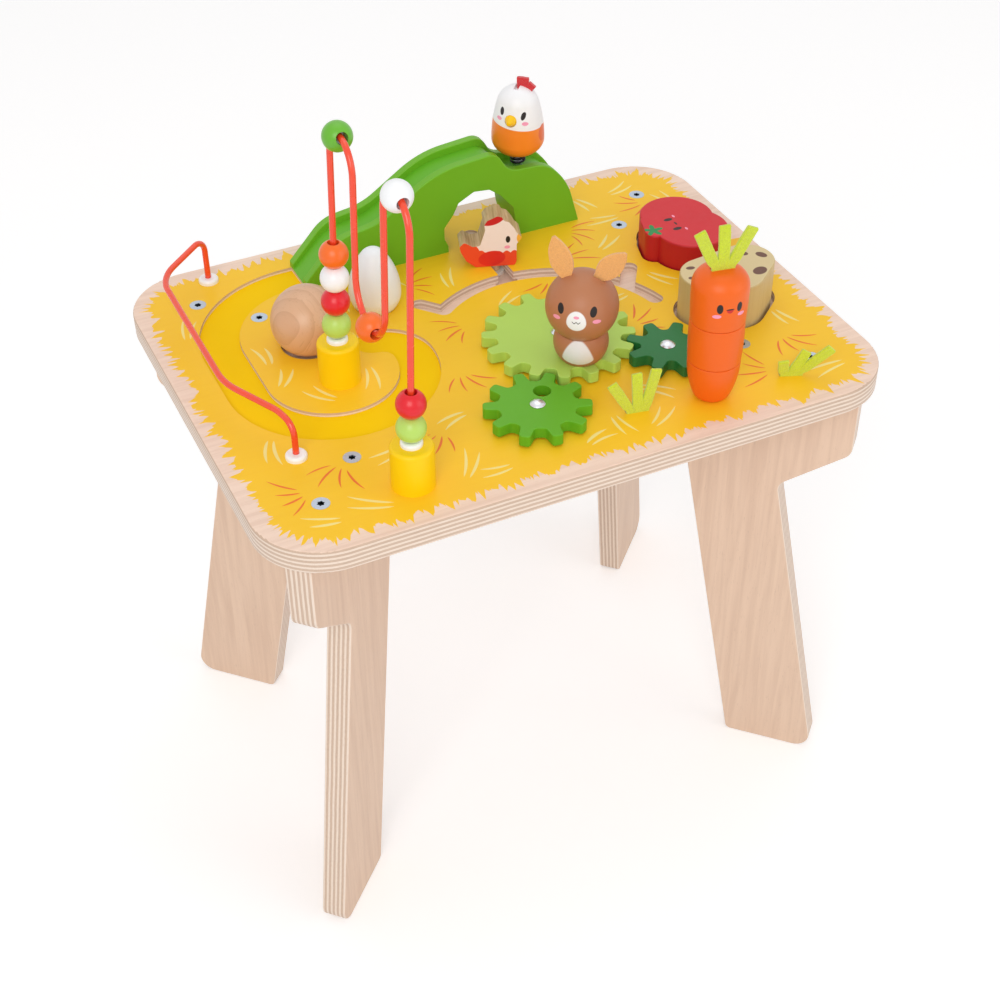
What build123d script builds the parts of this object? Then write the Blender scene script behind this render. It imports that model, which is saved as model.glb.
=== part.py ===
from build123d import *
import math
import os

# Child's wooden activity table: a plywood top on four plank legs, with a hill and ball run, meshing
# gears, bead wires, a hen on a spring, a sliding hen block, shape puzzles and a stacking carrot.
# Millimetres, +Z up. The origin is on the floor under the middle of the table top, +Y is the far long edge.

# Table
table_length = 400.0
table_depth = 300.0
table_height = 330.0
top_thickness = 6.0
base_thickness = 9.0
edge_round = 1.0

# The layout's unit: what stands on the board is drawn in shares of it, and so follows both of its sides
unit_length_share = 0.25
unit_depth_share = 1 / 3
layout_unit = min(unit_length_share * table_length, unit_depth_share * table_depth)
corner_share = 0.42

# Fits and cuts
fixed_gap = 0.1
running_gap = 0.1
seat_gap = 0.3
overrun = 1.0

# Legs: distances along the corner diagonal, inwards from the sharp corner, as shares of the layout's unit
leg_thickness = 16.0
leg_inner_top_share = 1.42
leg_inner_foot_share = 0.825
leg_outer_top_share = 0.84
leg_outer_foot_share = 0.2
leg_tab_share = 0.24
leg_tab_height = 47.0
leg_tab_root_drop = 82.0
leg_tab_round = 10.0
leg_root_round = 9.0
leg_toe_round = 11.0
leg_heel_round = 4.0

# Leg screws and the threaded sleeves in the leg tops
screw_inset_shares = (0.58, 1.01)
screw_head_radius = 5.2
screw_head_depth = 2.8
screw_shank_radius = 2.5
screw_reach = 15.0
socket_tip_radius = 2.4
socket_valley_radius = 1.7
socket_depth = 1.6
socket_points = 6
sleeve_radius = 4.4
sleeve_length = 18.0

# Wood screws driven up from below
wood_screw_radius = 1.9
wood_screw_head_radius = 4.0
wood_screw_head_depth = 2.4
wood_screw_bite = 11.0

# Hill: two rim plates glued on a lower core that makes the slide
hill_length_share = 0.4925
hill_height = 64.5
hill_plate = 6.0
hill_core = 19.0
rim_rise = 5.0
hill_edge_round = 0.8
hill_middle_share = 0.0425
hill_inset_share = 0.375
hill_corner_shares = [(0.0, 0.0), (0.0, 0.06), (0.122, 0.46), (0.265, 0.52), (0.475, 0.94), (0.69, 1.0),
                      (0.735, 0.765), (0.875, 0.745), (0.955, 0.5), (1.0, 0.0)]
hill_round_shares = [0.02, 0.4, 0.7, 1.0, 0.16, 0.2, 0.32, 0.75]
hill_screw_shares = [0.27, 0.44, 0.87]

# Tunnel through the hill, about the line that the hen block slides on
tunnel_width = 53.0
tunnel_height = 40.5
tunnel_corner_shares = [(-0.43, 0.0), (-0.43, 0.12), (-0.48, 0.26), (-0.48, 0.46), (-0.35, 0.68),
                        (-0.28, 0.86), (-0.07, 1.0), (0.14, 0.97), (0.29, 0.82), (0.47, 0.54),
                        (0.5, 0.28), (0.56, 0.0)]
tunnel_round = 2.5

# Hen on a spring
spring_place_share = 0.805
spring_radius = 4.5
spring_wire_radius = 0.65
spring_turns = 4
spring_pitch = 2.4
spring_lift = 1.2
stud_radius = 3.0
stud_height = 3.4
stud_screw_radius = 1.8
stud_screw_length = 9.0
hen_radius = 17.4
hen_height = 48.5
hen_belly_height = 11.9
belly_steps = 6
hen_side_radius = 94.0
hen_foot_radius = 7.6
hen_sink = 2.6
hen_pocket_gap = 1.1
hen_plug_radius = 3.0
hen_plug_drop = 4.8
hen_facing = -134.0
beak_radius = 3.9
beak_reach = 2.6
beak_root = 7.0
beak_point = 5.0
beak_height_share = 0.627
beak_tip_share = 0.3
beak_tip_round_share = 0.2
comb_thickness = 3.0
comb_length = 9.5
comb_height = 6.5
comb_root = 2.5

# Hen block that slides through the tunnel
block_line_share = 0.165
block_gap_share = 0.3705
block_turn = -18.6
block_width = 41.0
block_height = 37.0
block_depth = 16.4
block_round = 1.6
block_corner_shares = [(-0.31, 0.0), (0.322, 0.0), (0.346, 0.095), (0.346, 0.427), (0.439, 0.546),
                       (0.351, 0.646), (0.305, 0.749), (0.224, 0.87), (0.149, 0.9), (0.115, 0.973),
                       (0.041, 1.0), (-0.12, 0.919), (-0.168, 0.838), (-0.154, 0.73), (-0.237, 0.432),
                       (-0.351, 0.416), (-0.488, 0.514), (-0.563, 0.432), (-0.546, 0.324), (-0.459, 0.135)]
block_peg_radius = 4.0
block_peg_bite = 12.0
guide_radius = 7.0
guide_thickness = 2.4
guide_side_gap = 0.6
block_forward_share = 0.22
block_backward_share = 0.36

# Slots cut in the top sheet
slot_shares = (0.14, -0.183)
slot_width = 10.5
slot_radius_share = 0.795
slot_start = 12.0
slot_end = 128.0
slot_fork = 29.0
slot_fork_share = 0.21
slot_fork_turn = 28.0
slot_hook_share = 0.17
slot_hook_turn = 2.0

# Gears
gear_module_share = 0.056
gear_thickness = 7.0
gear_lift = 1.2
large_tooth_shares = (0.43, 1.14)
medium_tooth_shares = (0.7, 0.875)
small_tooth_shares = (0.52, 1.05)
tooth_share = 0.42
tooth_slope = 6.0
tooth_tip_share = 0.38
tooth_root_share = 0.57
medium_slack_share = 0.36
small_slack_share = 0.0
large_teeth = 16
medium_teeth = 10
small_teeth = 8
large_gear_shares = (0.1375, -0.1923)
medium_direction = -126.3
small_direction = -37.5
large_phase = 0.0
gear_edge_round = 0.5
pin_radius = 3.0
pin_head_radius = 4.6
pin_head_height = 2.0
pin_bite = 11.0
washer_radius = 8.0
finger_hole_radius = 5.4
finger_hole_share = 0.13
finger_hole_direction = 52.0

# Rabbit on the large gear
rabbit_offset_share = 0.281
rabbit_direction = -89.0
rabbit_facing = -127.0
rabbit_body_radius = 16.6
rabbit_body_sink = 4.9
rabbit_neck = 20.0
rabbit_head_radius = 21.8
rabbit_head_sink = 5.2
rabbit_dowel_radius = 3.0
rabbit_dowel_bite = 4.0
ear_length = 25.5
ear_width = 13.5
ear_thickness = 2.6
ear_root = 4.0
ear_belly_share = 0.42
ear_stalk_share = 0.5
ear_spread = 9.5
ear_leans = (-17.0, 44.0)

# Shape puzzles
tomato_shares = (0.772, 0.245)
tomato_lobe_shares = ((-0.01, 0.095, 0.244), (0.0, -0.085, 0.246))
tomato_stem_shares = ((-0.235, -0.025, 0.073), (-0.19, 0.1, 0.082))
tomato_rise = 18.5
tomato_gap = 1.4
potato_shares = (0.7, -0.26)
potato_radius_shares = (0.18, 0.193, 0.173)
potato_lobe_shares = ((-0.648, 0.093), (0.104, -0.238), (0.933, 0.3))
potato_rise = 28.0
potato_gap = 2.4
puzzle_edge_round = 1.2

# Stacking carrot
carrot_shares = (0.4195, -0.773)
carrot_height = 88.0
carrot_seam_shares = (0.31, 0.615)
carrot_foot_radius = 9.5
carrot_waist_radius = 15.6
carrot_radius = 16.4
carrot_barrel = 0.4
carrot_crown_round = 11.0
carrot_toe_round = 6.0
carrot_seam_round = 0.5
peg_radius = 4.0
peg_height_share = 0.72
peg_bite = 10.0
peg_gap = 0.35
leaf_width = 14.0
leaf_spread = 12.0
leaf_height = 28.0
leaf_thickness = 2.6
leaf_blade = 7.0
leaf_root = 4.0
leaf_facing = -100.0

# Felt grass tufts
tuft_shares = ((0.188, -0.733), (0.69, -0.79))
tuft_facings = (-100.0, -112.0)
tuft_heights = (28.0, 15.0)
tuft_root = 4.0

# Loose ball and egg in round holes of the top sheet, placed about the middle of the ball track's bowl
ball_shares = (-0.013, 0.36)
ball_radius = 22.4
ball_hole_radius = 17.5
egg_shares = (0.518, 0.575)
egg_radius = 16.6
egg_height = 48.0
egg_side_radius = 46.0
egg_foot_radius = 4.0
egg_hole_radius = 13.2

# Ball track: a spiral channel cut right through the top sheet, with a painted inlay for its floor
track_width_share = 0.25
track_inset_share = 0.38
track_turn_share = 0.66
track_run_share = 0.44
track_bowl_share = 0.53
track_curl_share = 0.205
track_curl_turn = 84.0
track_floor_thickness = 3.5

# Bead wires
wire_radius = 1.9
wire_bite = 11.0
post_left_shares = (0.025, -0.07)
post_radius = 12.6
post_height = 27.5
post_round = 2.2
ferrule_radius = 6.4
ferrule_height = 3.0
ferrule_round_share = 0.6
loop_span_shares = (0.335, 0.425, 0.345)
loop_heights = (150.0, 90.0, 155.0)
wire_lean = 2.0
wire_bend_reach = 6.0
bead_radius = 8.6
bead_length = 15.4
bead_bore = 3.5
stack_gap = 0.5
loop_bead_angles = (75.0, -90.0, 95.0)
low_wire_height = 30.0
low_wire_route_shares = [(-0.72, 0.885, 1.08), (-0.905, 0.687, 0.97), (-0.9, -0.093, 0.86),
                         (-0.803, -0.327, 0.79), (-0.784, -0.433, 0.77)]
low_wire_bend = 9.0
low_wire_sweeps = (28.0, 40.0, 20.0)
low_ferrule_height = 3.2

# Levels and plan sizes worked out from the sizes above
top_z = table_height
sheet_z = top_z - top_thickness
under_z = sheet_z - base_thickness
corner_radius = corner_share * layout_unit
leg_inner_top = leg_inner_top_share * layout_unit
leg_inner_foot = leg_inner_foot_share * layout_unit
leg_outer_top = leg_outer_top_share * layout_unit
leg_outer_foot = leg_outer_foot_share * layout_unit
leg_tab_reach = leg_tab_share * layout_unit
screw_insets = [share * layout_unit for share in screw_inset_shares]
hill_length = hill_length_share * table_length
slot_radius = slot_radius_share * layout_unit
gear_module = gear_module_share * layout_unit
potato_radii = [share * layout_unit for share in potato_radius_shares]
track_width = track_width_share * layout_unit
track_inset = track_inset_share * layout_unit
track_turn_radius = track_turn_share * layout_unit
track_run = track_run_share * layout_unit
track_bowl_radius = track_bowl_share * layout_unit
track_curl_radius = track_curl_share * layout_unit
loop_spans = [share * layout_unit for share in loop_span_shares]
block_forward = block_forward_share * layout_unit
block_backward = block_backward_share * layout_unit


def place(shares):
    """A place on the table top, as shares of its half length and half depth."""
    return Vector(shares[0] * table_length / 2, shares[1] * table_depth / 2, top_z)


def polar(radius, degrees):
    return Vector(radius * math.cos(math.radians(degrees)), radius * math.sin(math.radians(degrees)))


def at(point, shape):
    return Pos(point.X, point.Y, point.Z) * shape


def upright(radius, low, high):
    """A cylinder about Z between two levels."""
    return Pos(0, 0, low) * Cylinder(radius, high - low, align=(Align.CENTER, Align.CENTER, Align.MIN))


def plate(face, low, high):
    """A face of the XY plane raised to a plate between two levels."""
    return Pos(0, 0, low) * extrude(face, high - low)


def standing(face, near, far):
    """A face drawn as (x, height) stood up and thickened from near to far along +Y."""
    return Pos(0, far, 0) * extrude(Plane.XZ * face, far - near)


def outline(points, radii):
    return make_face(FilletPolyline(*points, radius=radii, close=True))


def ribbon(start, heading, stretches, width):
    """A strip of even width along straight and curved stretches, with a square start and a round end."""
    half = width / 2
    left, right = [], []
    point, angle = Vector(*start), heading
    for length, turn in stretches:
        side = polar(half, angle + 90)
        if turn == 0:
            end = point + polar(length, angle)
            left.append(Line(point + side, end + side))
            right.append(Line(point - side, end - side))
        else:
            sense = math.copysign(1, turn)
            centre = point + polar(length, angle + 90 * sense)
            begin = angle - 90 * sense
            left.append(CenterArc(centre, length - sense * half, begin, turn))
            right.append(CenterArc(centre, length + sense * half, begin, turn))
            end = centre + polar(length, begin + turn)
            angle += turn
        point = end
    side = polar(half, angle + 90)
    cap = ThreePointArc(point + side, point + polar(half, angle), point - side)
    first = left[0] @ 0
    lid = Line(right[0] @ 0, first)
    return make_face(Wire([*left, cap, *right, lid]))


def swept(path, radius):
    """A round rod along a path."""
    return sweep(Plane(origin=path @ 0, z_dir=path % 0) * Circle(radius), path=path)


def egg_profile(radius, height, belly_height, side_radius, foot_radius):
    """Half of an egg: a belly that is widest at its own height, long sides, a round top and a flat foot."""
    rise = height - belly_height
    cap = (side_radius**2 - (side_radius - radius) ** 2 - rise**2) / (2 * (side_radius - rise))
    cap_z = height - cap
    lean = math.atan2(cap_z - belly_height, side_radius - radius)
    shoulder = Vector(cap * math.cos(lean), cap_z + cap * math.sin(lean))
    middle = Vector(radius - side_radius, belly_height) + polar(side_radius, math.degrees(lean) / 2)
    foot_turn = math.acos(foot_radius / radius)
    foot_z = belly_height - belly_height * math.sin(foot_turn)
    turns = [-foot_turn * (1 - count / belly_steps) for count in range(belly_steps + 1)]
    points = [(radius * math.cos(turn), belly_height + belly_height * math.sin(turn)) for turn in turns]
    foot_slope = (radius * math.sin(foot_turn), belly_height * math.cos(foot_turn))
    belly = Spline(*points, tangents=[foot_slope, (0, 1)])
    top = Vector(0, height)
    brow = Vector(0, cap_z) + polar(cap, (math.degrees(lean) + 90) / 2)
    edges = [Line((0, foot_z), (foot_radius, foot_z)),
             belly,
             ThreePointArc((radius, belly_height), middle, shoulder),
             ThreePointArc(shoulder, brow, top),
             Line(top, (0, foot_z))]
    return make_face(Wire(edges)), foot_z


def spun(face):
    return revolve(Plane.XZ * face, Axis.Z)


# Places that several pieces share
hill_line = table_depth / 2 - hill_inset_share * layout_unit
hill_middle = Vector(hill_middle_share * table_length / 2, hill_line, top_z)
hill_left = hill_middle.X - hill_length / 2
hill_near = hill_middle.Y - hill_core / 2 - hill_plate
hill_far = hill_middle.Y + hill_core / 2 + hill_plate
core_near = hill_near + hill_plate
core_far = hill_far - hill_plate
large_centre = place(large_gear_shares)
medium_reach = gear_module * ((large_teeth + medium_teeth) / 2 + medium_slack_share)
small_reach = gear_module * ((large_teeth + small_teeth) / 2 + small_slack_share)
medium_centre = large_centre + polar(medium_reach, medium_direction)
small_centre = large_centre + polar(small_reach, small_direction)
gear_centres = [large_centre, medium_centre, small_centre]
gear_low = top_z + gear_lift
gear_high = gear_low + gear_thickness
rabbit_foot = large_centre + polar(rabbit_offset_share * layout_unit, rabbit_direction)
slot_centre = place(slot_shares)
block_x = block_line_share * table_length / 2
block_y = hill_middle.Y - block_gap_share * layout_unit
tomato_centre = place(tomato_shares)
potato_centre = place(potato_shares)
carrot_foot = place(carrot_shares)
tuft_feet = [place(shares) for shares in tuft_shares]
track_left = track_inset - table_length / 2
track_middle = Vector(track_left + track_bowl_radius, hill_middle.Y - track_turn_radius - track_run, top_z)
ball_centre = track_middle + Vector(*ball_shares) * layout_unit
egg_centre = track_middle + Vector(*egg_shares) * layout_unit
post_left = track_middle + Vector(*post_left_shares) * layout_unit
strand_ys = [post_left.Y - sum(loop_spans[:count]) for count in range(4)]
post_right = Vector(post_left.X, strand_ys[3], top_z)
posts = [post_left, post_right]
low_wire_ends = [place(low_wire_route_shares[0]), place(low_wire_route_shares[-1])]
hill_screw_places = [Vector(hill_left + share * hill_length, hill_middle.Y, top_z)
                     for share in hill_screw_shares]
corners = {"front_left": (-1, -1), "front_right": (1, -1), "rear_left": (-1, 1), "rear_right": (1, 1)}


def corner_point(sides, inset):
    """A point on a corner's diagonal, the inset inwards from the sharp corner."""
    reach = inset / math.sqrt(2)
    return Vector(sides[0] * (table_length / 2 - reach), sides[1] * (table_depth / 2 - reach), top_z)


leg_screw_places = [corner_point(sides, inset) for sides in corners.values()
                    for inset in screw_insets]


def hill_face(drop):
    """The hill's outline; with a drop, that of the core, which starts from nothing at the foot."""
    points = [(hill_left + x * hill_length, top_z + z * hill_height - drop) for x, z in hill_corner_shares]
    points[0] = (hill_left, top_z)
    points[-1] = (hill_left + hill_length, top_z)
    rounds = [0, *[share * hill_height for share in hill_round_shares], 0]
    if drop:
        del points[1], rounds[1]
    return outline(points, rounds)


def tunnel_face(grow):
    points = [(block_x + x * tunnel_width, top_z + z * tunnel_height) for x, z in tunnel_corner_shares]
    points[0] = (points[0][0], top_z - grow)
    points[-1] = (points[-1][0], top_z - grow)
    return outline(points, [0, *[tunnel_round] * (len(points) - 2), 0])


def leg_screw(clearance):
    """A countersunk leg screw hanging from the origin, or the hole for one."""
    radius = screw_shank_radius + clearance
    head = Pos(0, 0, -screw_head_depth / 2) * Cone(radius, screw_head_radius + clearance, screw_head_depth)
    return head + upright(radius, -top_thickness - base_thickness - screw_reach, 0)


def wood_screw(bite, clearance):
    """A screw that points up from the underside of the base, or the hole for one."""
    radius = wood_screw_radius + clearance
    low = under_z
    head = Cone(wood_screw_head_radius + clearance, radius, wood_screw_head_depth)
    return Pos(0, 0, low + wood_screw_head_depth / 2) * head + upright(radius, low, top_z + bite)


def flat(point):
    return Vector(point.X, point.Y, 0)


def blade_fan(width, spread, height, blade, root):
    """Three felt blades on one strip, drawn as (x, height) with the strip's foot below zero."""
    half = width / 2
    notch = height / 4
    mid = blade / 2
    return make_face(Polyline((-half, -root), (half, -root), (half, 0), (half + spread, height - notch / 2),
                              (half + spread - blade, height), (mid + blade / 4, notch), (mid, height),
                              (-mid, height), (-mid - blade / 4, notch), (blade - half - spread, height),
                              (-half - spread, height - notch / 2), (-half, 0), close=True))


def felt(face, thickness, facing):
    """A flat felt piece that looks towards a direction in degrees."""
    return Rot(0, 0, facing + 90) * standing(face, -thickness / 2, thickness / 2)


def tuft(count, grow):
    face = blade_fan(leaf_width + 2 * grow, leaf_spread, tuft_heights[count], leaf_blade, tuft_root + grow)
    return at(tuft_feet[count], felt(face, leaf_thickness + 2 * grow, tuft_facings[count]))


def slot_faces(width):
    """The branch-shaped slots: an arc round the large gear, a fork, a hook and the hen block's straight."""
    start = slot_centre + polar(slot_radius, slot_start)
    arc = ribbon((start.X, start.Y), slot_start + 90, [(slot_radius, slot_end - slot_start)], width)
    fork_from = slot_centre + polar(slot_radius, slot_fork)
    fork_reach = slot_fork_share * layout_unit
    fork = ribbon((fork_from.X, fork_from.Y), slot_fork + slot_fork_turn, [(fork_reach, 0)], width)
    hook_from = slot_centre + polar(slot_radius, slot_end)
    hook_reach = slot_hook_share * layout_unit
    hook = ribbon((hook_from.X, hook_from.Y), slot_end + slot_hook_turn, [(hook_reach, 0)], width)
    return [arc + Pos(start.X, start.Y) * Circle(width / 2), fork, hook]


def block_slot(width):
    """The straight slot from the arc, under the tunnel, with room for the peg over its whole travel."""
    meet = math.sqrt(slot_radius**2 - (block_x - slot_centre.X) ** 2) + slot_centre.Y
    run = block_y + block_backward - meet + running_gap
    return ribbon((block_x, meet), 90, [(run, 0)], width)


def track_face(width):
    lead = hill_left - track_left - track_turn_radius
    stretches = [(lead, 0), (track_turn_radius, 90), (track_run, 0), (track_bowl_radius, 180),
                 (track_curl_radius, track_curl_turn)]
    return ribbon((hill_left, hill_middle.Y), 180, stretches, width)


def tomato_circle(shares, grow):
    x_share, y_share, radius_share = shares
    middle = tomato_centre + Vector(x_share, y_share) * layout_unit
    return Pos(middle.X, middle.Y) * Circle(radius_share * layout_unit + grow)


def tomato_face(grow):
    """Two lobes, and a bulge for the stem on one side."""
    lobes = [tomato_circle(shares, grow) for shares in tomato_lobe_shares]
    bulge = make_hull([tomato_circle(shares, grow).edge() for shares in tomato_stem_shares])
    return lobes[0] + lobes[1] + bulge


def potato_face(grow):
    circles = []
    for radius, (x_share, y_share) in zip(potato_radii, potato_lobe_shares):
        middle = potato_centre + Vector(x_share, y_share) * potato_radii[1]
        circles.append(Pos(middle.X, middle.Y) * Circle(radius + grow))
    return make_hull([circle.edge() for circle in circles])


def board(low, high):
    return plate(RectangleRounded(table_length, table_depth, corner_radius), low, high)


def top_panel():
    panel = board(sheet_z, top_z)
    panel = fillet(panel.faces().sort_by(Axis.Z)[-1].edges(), edge_round)
    faces = [track_face(track_width), block_slot(slot_width)]
    faces += [tomato_face(tomato_gap), potato_face(potato_gap)]
    faces += slot_faces(slot_width)
    for face in faces:
        panel -= plate(face, sheet_z - overrun, top_z + overrun)
    for point, radius in [(ball_centre, ball_hole_radius), (egg_centre, egg_hole_radius)]:
        panel -= at(flat(point), upright(radius, sheet_z - overrun, top_z + overrun))
    return drilled(panel)


def track_floor():
    """The inlay that lies on the base board, all along the track."""
    return plate(track_face(track_width - 2 * fixed_gap), sheet_z, sheet_z + track_floor_thickness)


def base_panel():
    panel = board(under_z, sheet_z)
    panel = fillet(panel.faces().sort_by(Axis.Z)[0].edges(), edge_round)
    groove_low = sheet_z - guide_thickness - 2 * seat_gap
    groove_width = 2 * (guide_radius + guide_side_gap)
    panel -= plate(block_slot(groove_width), groove_low, sheet_z + overrun)
    start = block_y - block_forward
    panel -= Pos(block_x, start) * upright(groove_width / 2, groove_low, sheet_z + overrun)
    return drilled(panel)


def drilled(panel):
    """The holes that go through both boards, taken out of one of them."""
    for point in leg_screw_places:
        panel -= at(point, leg_screw(fixed_gap))
    for point in hill_screw_places + posts:
        panel -= at(flat(point), wood_screw(wood_screw_bite, fixed_gap))
    for point in gear_centres:
        panel -= at(point, upright(pin_radius + fixed_gap, -pin_bite, overrun))
    for point in low_wire_ends:
        panel -= at(flat(point), upright(wire_radius + fixed_gap, top_z - wire_bite, top_z + overrun))
    panel -= at(carrot_foot, upright(peg_radius + fixed_gap, -peg_bite, overrun))
    for count in range(len(tuft_feet)):
        panel -= tuft(count, fixed_gap)
    return panel


def leg(sides):
    """A plank on the corner's diagonal, with a tab that reaches out under the corner."""
    slope = (leg_outer_top - leg_outer_foot) / under_z
    root_out = leg_outer_top - slope * leg_tab_root_drop
    points = [(-leg_inner_top, under_z), (-leg_inner_foot, 0), (-leg_outer_foot, 0),
              (-root_out, under_z - leg_tab_root_drop), (-leg_tab_reach, under_z - leg_tab_height),
              (-leg_tab_reach, under_z)]
    face = outline(points, [0, leg_heel_round, leg_toe_round, leg_root_round, leg_tab_round, 0])
    plank = standing(face, -leg_thickness / 2, leg_thickness / 2)
    plank = fillet(plank.faces().filter_by(Axis.Y).edges(), edge_round)
    for inset in screw_insets:
        hole = upright(sleeve_radius + fixed_gap, under_z - sleeve_length, under_z + overrun)
        plank -= Pos(-inset, 0) * hole
    corner = corner_point(sides, 0)
    return Pos(corner.X, corner.Y) * Rot(0, 0, math.degrees(math.atan2(sides[1], sides[0]))) * plank


def leg_screws():
    radii = [socket_tip_radius, socket_valley_radius] * socket_points
    tips = [polar(radius, 180 * count / socket_points) for count, radius in enumerate(radii)]
    socket = plate(make_face(Polyline(*tips, close=True)), -socket_depth, overrun)
    screw = leg_screw(0) - socket
    return Compound([at(point, screw).solid() for point in leg_screw_places])


def leg_sleeves():
    low = under_z - sleeve_length
    sleeve = upright(sleeve_radius, low, under_z)
    sleeve -= upright(screw_shank_radius + fixed_gap, low - overrun, under_z + overrun)
    return Compound([at(flat(point), sleeve).solid() for point in leg_screw_places])


def wood_screws(places):
    return Compound([at(flat(point), wood_screw(wood_screw_bite, 0)).solid() for point in places])


def hill_panel(near, far):
    panel = standing(hill_face(0) - tunnel_face(overrun), near, far)
    arcs = panel.edges().filter_by(GeomType.CIRCLE)
    rims = [edge for edge in arcs if edge.center().Z > top_z + tunnel_height]
    return fillet(rims, hill_edge_round)


def hill_core_panel():
    core = standing(hill_face(rim_rise) - tunnel_face(overrun), core_near, core_far)
    for point in hill_screw_places:
        core -= at(flat(point), wood_screw(wood_screw_bite, fixed_gap))
    low = spring_seat - stud_screw_length - fixed_gap
    core -= at(spring_axis, upright(coil_reach + fixed_gap, spring_seat, spring_seat + rim_rise))
    return core - at(spring_axis, upright(stud_screw_radius + fixed_gap, low, spring_seat + overrun))


spring_axis = Vector(hill_left + spring_place_share * hill_length, hill_middle.Y)


def hump_level():
    """The height of the slide core's top under the spring, measured on its outline."""
    line = Line((spring_axis.X, top_z), (spring_axis.X, top_z + 2 * hill_height))
    return max(vertex.Y for edge in [hill_face(rim_rise) & line] for vertex in edge.vertices())


spring_seat = hump_level()
spring_low = spring_seat + spring_lift + spring_wire_radius
spring_high = spring_low + spring_turns * spring_pitch
hen_low = spring_high + spring_wire_radius - hen_sink


def helix_point(turn):
    side = polar(spring_radius, 360 * turn)
    return Vector(side.X, side.Y, spring_low + spring_pitch * turn)


def helix_tangent(turn):
    side = polar(2 * math.pi * spring_radius, 360 * turn + 90)
    return Vector(side.X, side.Y, spring_pitch).normalized()


def biarc(turn_a, turn_b):
    """Two arcs that join two points of the helix and keep its directions there."""
    a, b = helix_point(turn_a), helix_point(turn_b)
    along_a, along_b = helix_tangent(turn_a), helix_tangent(turn_b)
    chord, both = b - a, along_a + along_b
    spread = 2 * (1 - along_a.dot(along_b))
    pull = chord.dot(both)
    reach = (-pull + math.sqrt(pull**2 + spread * chord.dot(chord))) / spread
    near, far = a + along_a * reach, b - along_b * reach
    middle = (near + far) * 0.5
    return [TangentArc(a, middle, tangent=along_a), TangentArc(middle, b, tangent=far - near)]


def hen_spring():
    """One unbroken coil, swept along arcs of a quarter turn."""
    edges = []
    for quarter in range(4 * spring_turns):
        edges += biarc(quarter / 4, (quarter + 1) / 4)
    steps = 48
    points = [helix_point(step / steps) for step in range(spring_turns * steps + 1)]
    least = min((points[a] - points[b]).length for a in range(len(points))
                for b in range(a + steps // 2, len(points)))
    print("spring: least gap of the coil to itself", round(least - 2 * spring_wire_radius, 3))
    return at(spring_axis, swept(Wire(edges), spring_wire_radius))


def spring_stud():
    stud = upright(stud_radius, spring_seat, spring_seat + stud_height)
    return at(spring_axis, stud + upright(stud_screw_radius, spring_seat - stud_screw_length, spring_seat))


def hen_shell():
    """The egg-shaped body standing with its flat foot at the hen's lowest level."""
    face, foot_z = egg_profile(hen_radius, hen_height, hen_belly_height, hen_side_radius, hen_foot_radius)
    return Pos(spring_axis.X, spring_axis.Y, hen_low - foot_z) * spun(face), hen_low - foot_z


coil_reach = spring_radius + spring_wire_radius
pocket_high = spring_high + spring_wire_radius + hen_pocket_gap


def beak_axis():
    level = hen_shell()[1] + beak_height_share * hen_height
    ray = polar(1, hen_facing)
    return Plane(origin=(spring_axis.X, spring_axis.Y, level), z_dir=(ray.X, ray.Y, 0))


def beak_solid(grow):
    length = beak_root + beak_reach + grow
    peg = Cylinder(beak_radius + grow, length, align=(Align.CENTER, Align.CENTER, Align.MIN))
    return beak_axis() * (Pos(0, 0, hen_radius - beak_root - grow) * peg)


def hen_beak():
    """A peg with a pointed end."""
    straight = beak_root + beak_reach - beak_point
    tip_radius = beak_tip_share * beak_radius
    peg = Cylinder(beak_radius, straight, align=(Align.CENTER, Align.CENTER, Align.MIN))
    point = Cone(beak_radius, tip_radius, beak_point, align=(Align.CENTER, Align.CENTER, Align.MIN))
    point = fillet(point.faces().sort_by(Axis.Z)[-1].edges(), beak_tip_round_share * beak_radius)
    return beak_axis() * (Pos(0, 0, hen_radius - beak_root) * (peg + Pos(0, 0, straight) * point))


def comb_solid(grow):
    """A scalloped comb that stands in a slit along the hen's facing line."""
    top = hen_shell()[1] + hen_height
    half = comb_length / 2 + grow
    lobe = comb_length / 4
    strip = comb_height - lobe
    face = Pos(0, (strip - comb_root) / 2) * Rectangle(2 * half, strip + comb_root + 2 * grow)
    for count in (-1, 1):
        face += Pos(count * lobe, strip) * Circle(lobe + grow)
    comb = standing(face, -comb_thickness / 2 - grow, comb_thickness / 2 + grow)
    return Pos(spring_axis.X, spring_axis.Y, top) * Rot(0, 0, hen_facing) * comb


def hen_body():
    body = hen_shell()[0]
    body -= at(spring_axis, upright(coil_reach + hen_pocket_gap, hen_low - overrun, pocket_high))
    body -= at(spring_axis, upright(hen_plug_radius + fixed_gap, hen_low, pocket_high + hen_plug_drop))
    return body - beak_solid(fixed_gap) - comb_solid(fixed_gap)


def hen_plug():
    """A peg that hangs from the hen into the top of the spring."""
    high = pocket_high + hen_plug_drop - fixed_gap
    return at(spring_axis, upright(hen_plug_radius, pocket_high - hen_plug_drop, high))


def block_face():
    low = top_z + seat_gap
    points = [(x * block_width, low + z * block_height) for x, z in block_corner_shares]
    return outline(points, block_round)


def hen_block():
    """The block as it stands, turned a little on its peg."""
    block = standing(block_face(), -block_depth / 2, block_depth / 2)
    block -= upright(block_peg_radius + fixed_gap, top_z - overrun, top_z + block_peg_bite)
    return Pos(block_x, block_y) * Rot(0, 0, block_turn) * block


def block_peg():
    low = sheet_z - seat_gap - guide_thickness
    return Pos(block_x, block_y) * upright(block_peg_radius, low, top_z + block_peg_bite - fixed_gap)


def block_guide():
    low = sheet_z - seat_gap - guide_thickness
    disc = upright(guide_radius, low, low + guide_thickness)
    return Pos(block_x, block_y) * (disc - upright(block_peg_radius + fixed_gap, low - overrun, sheet_z))


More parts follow.
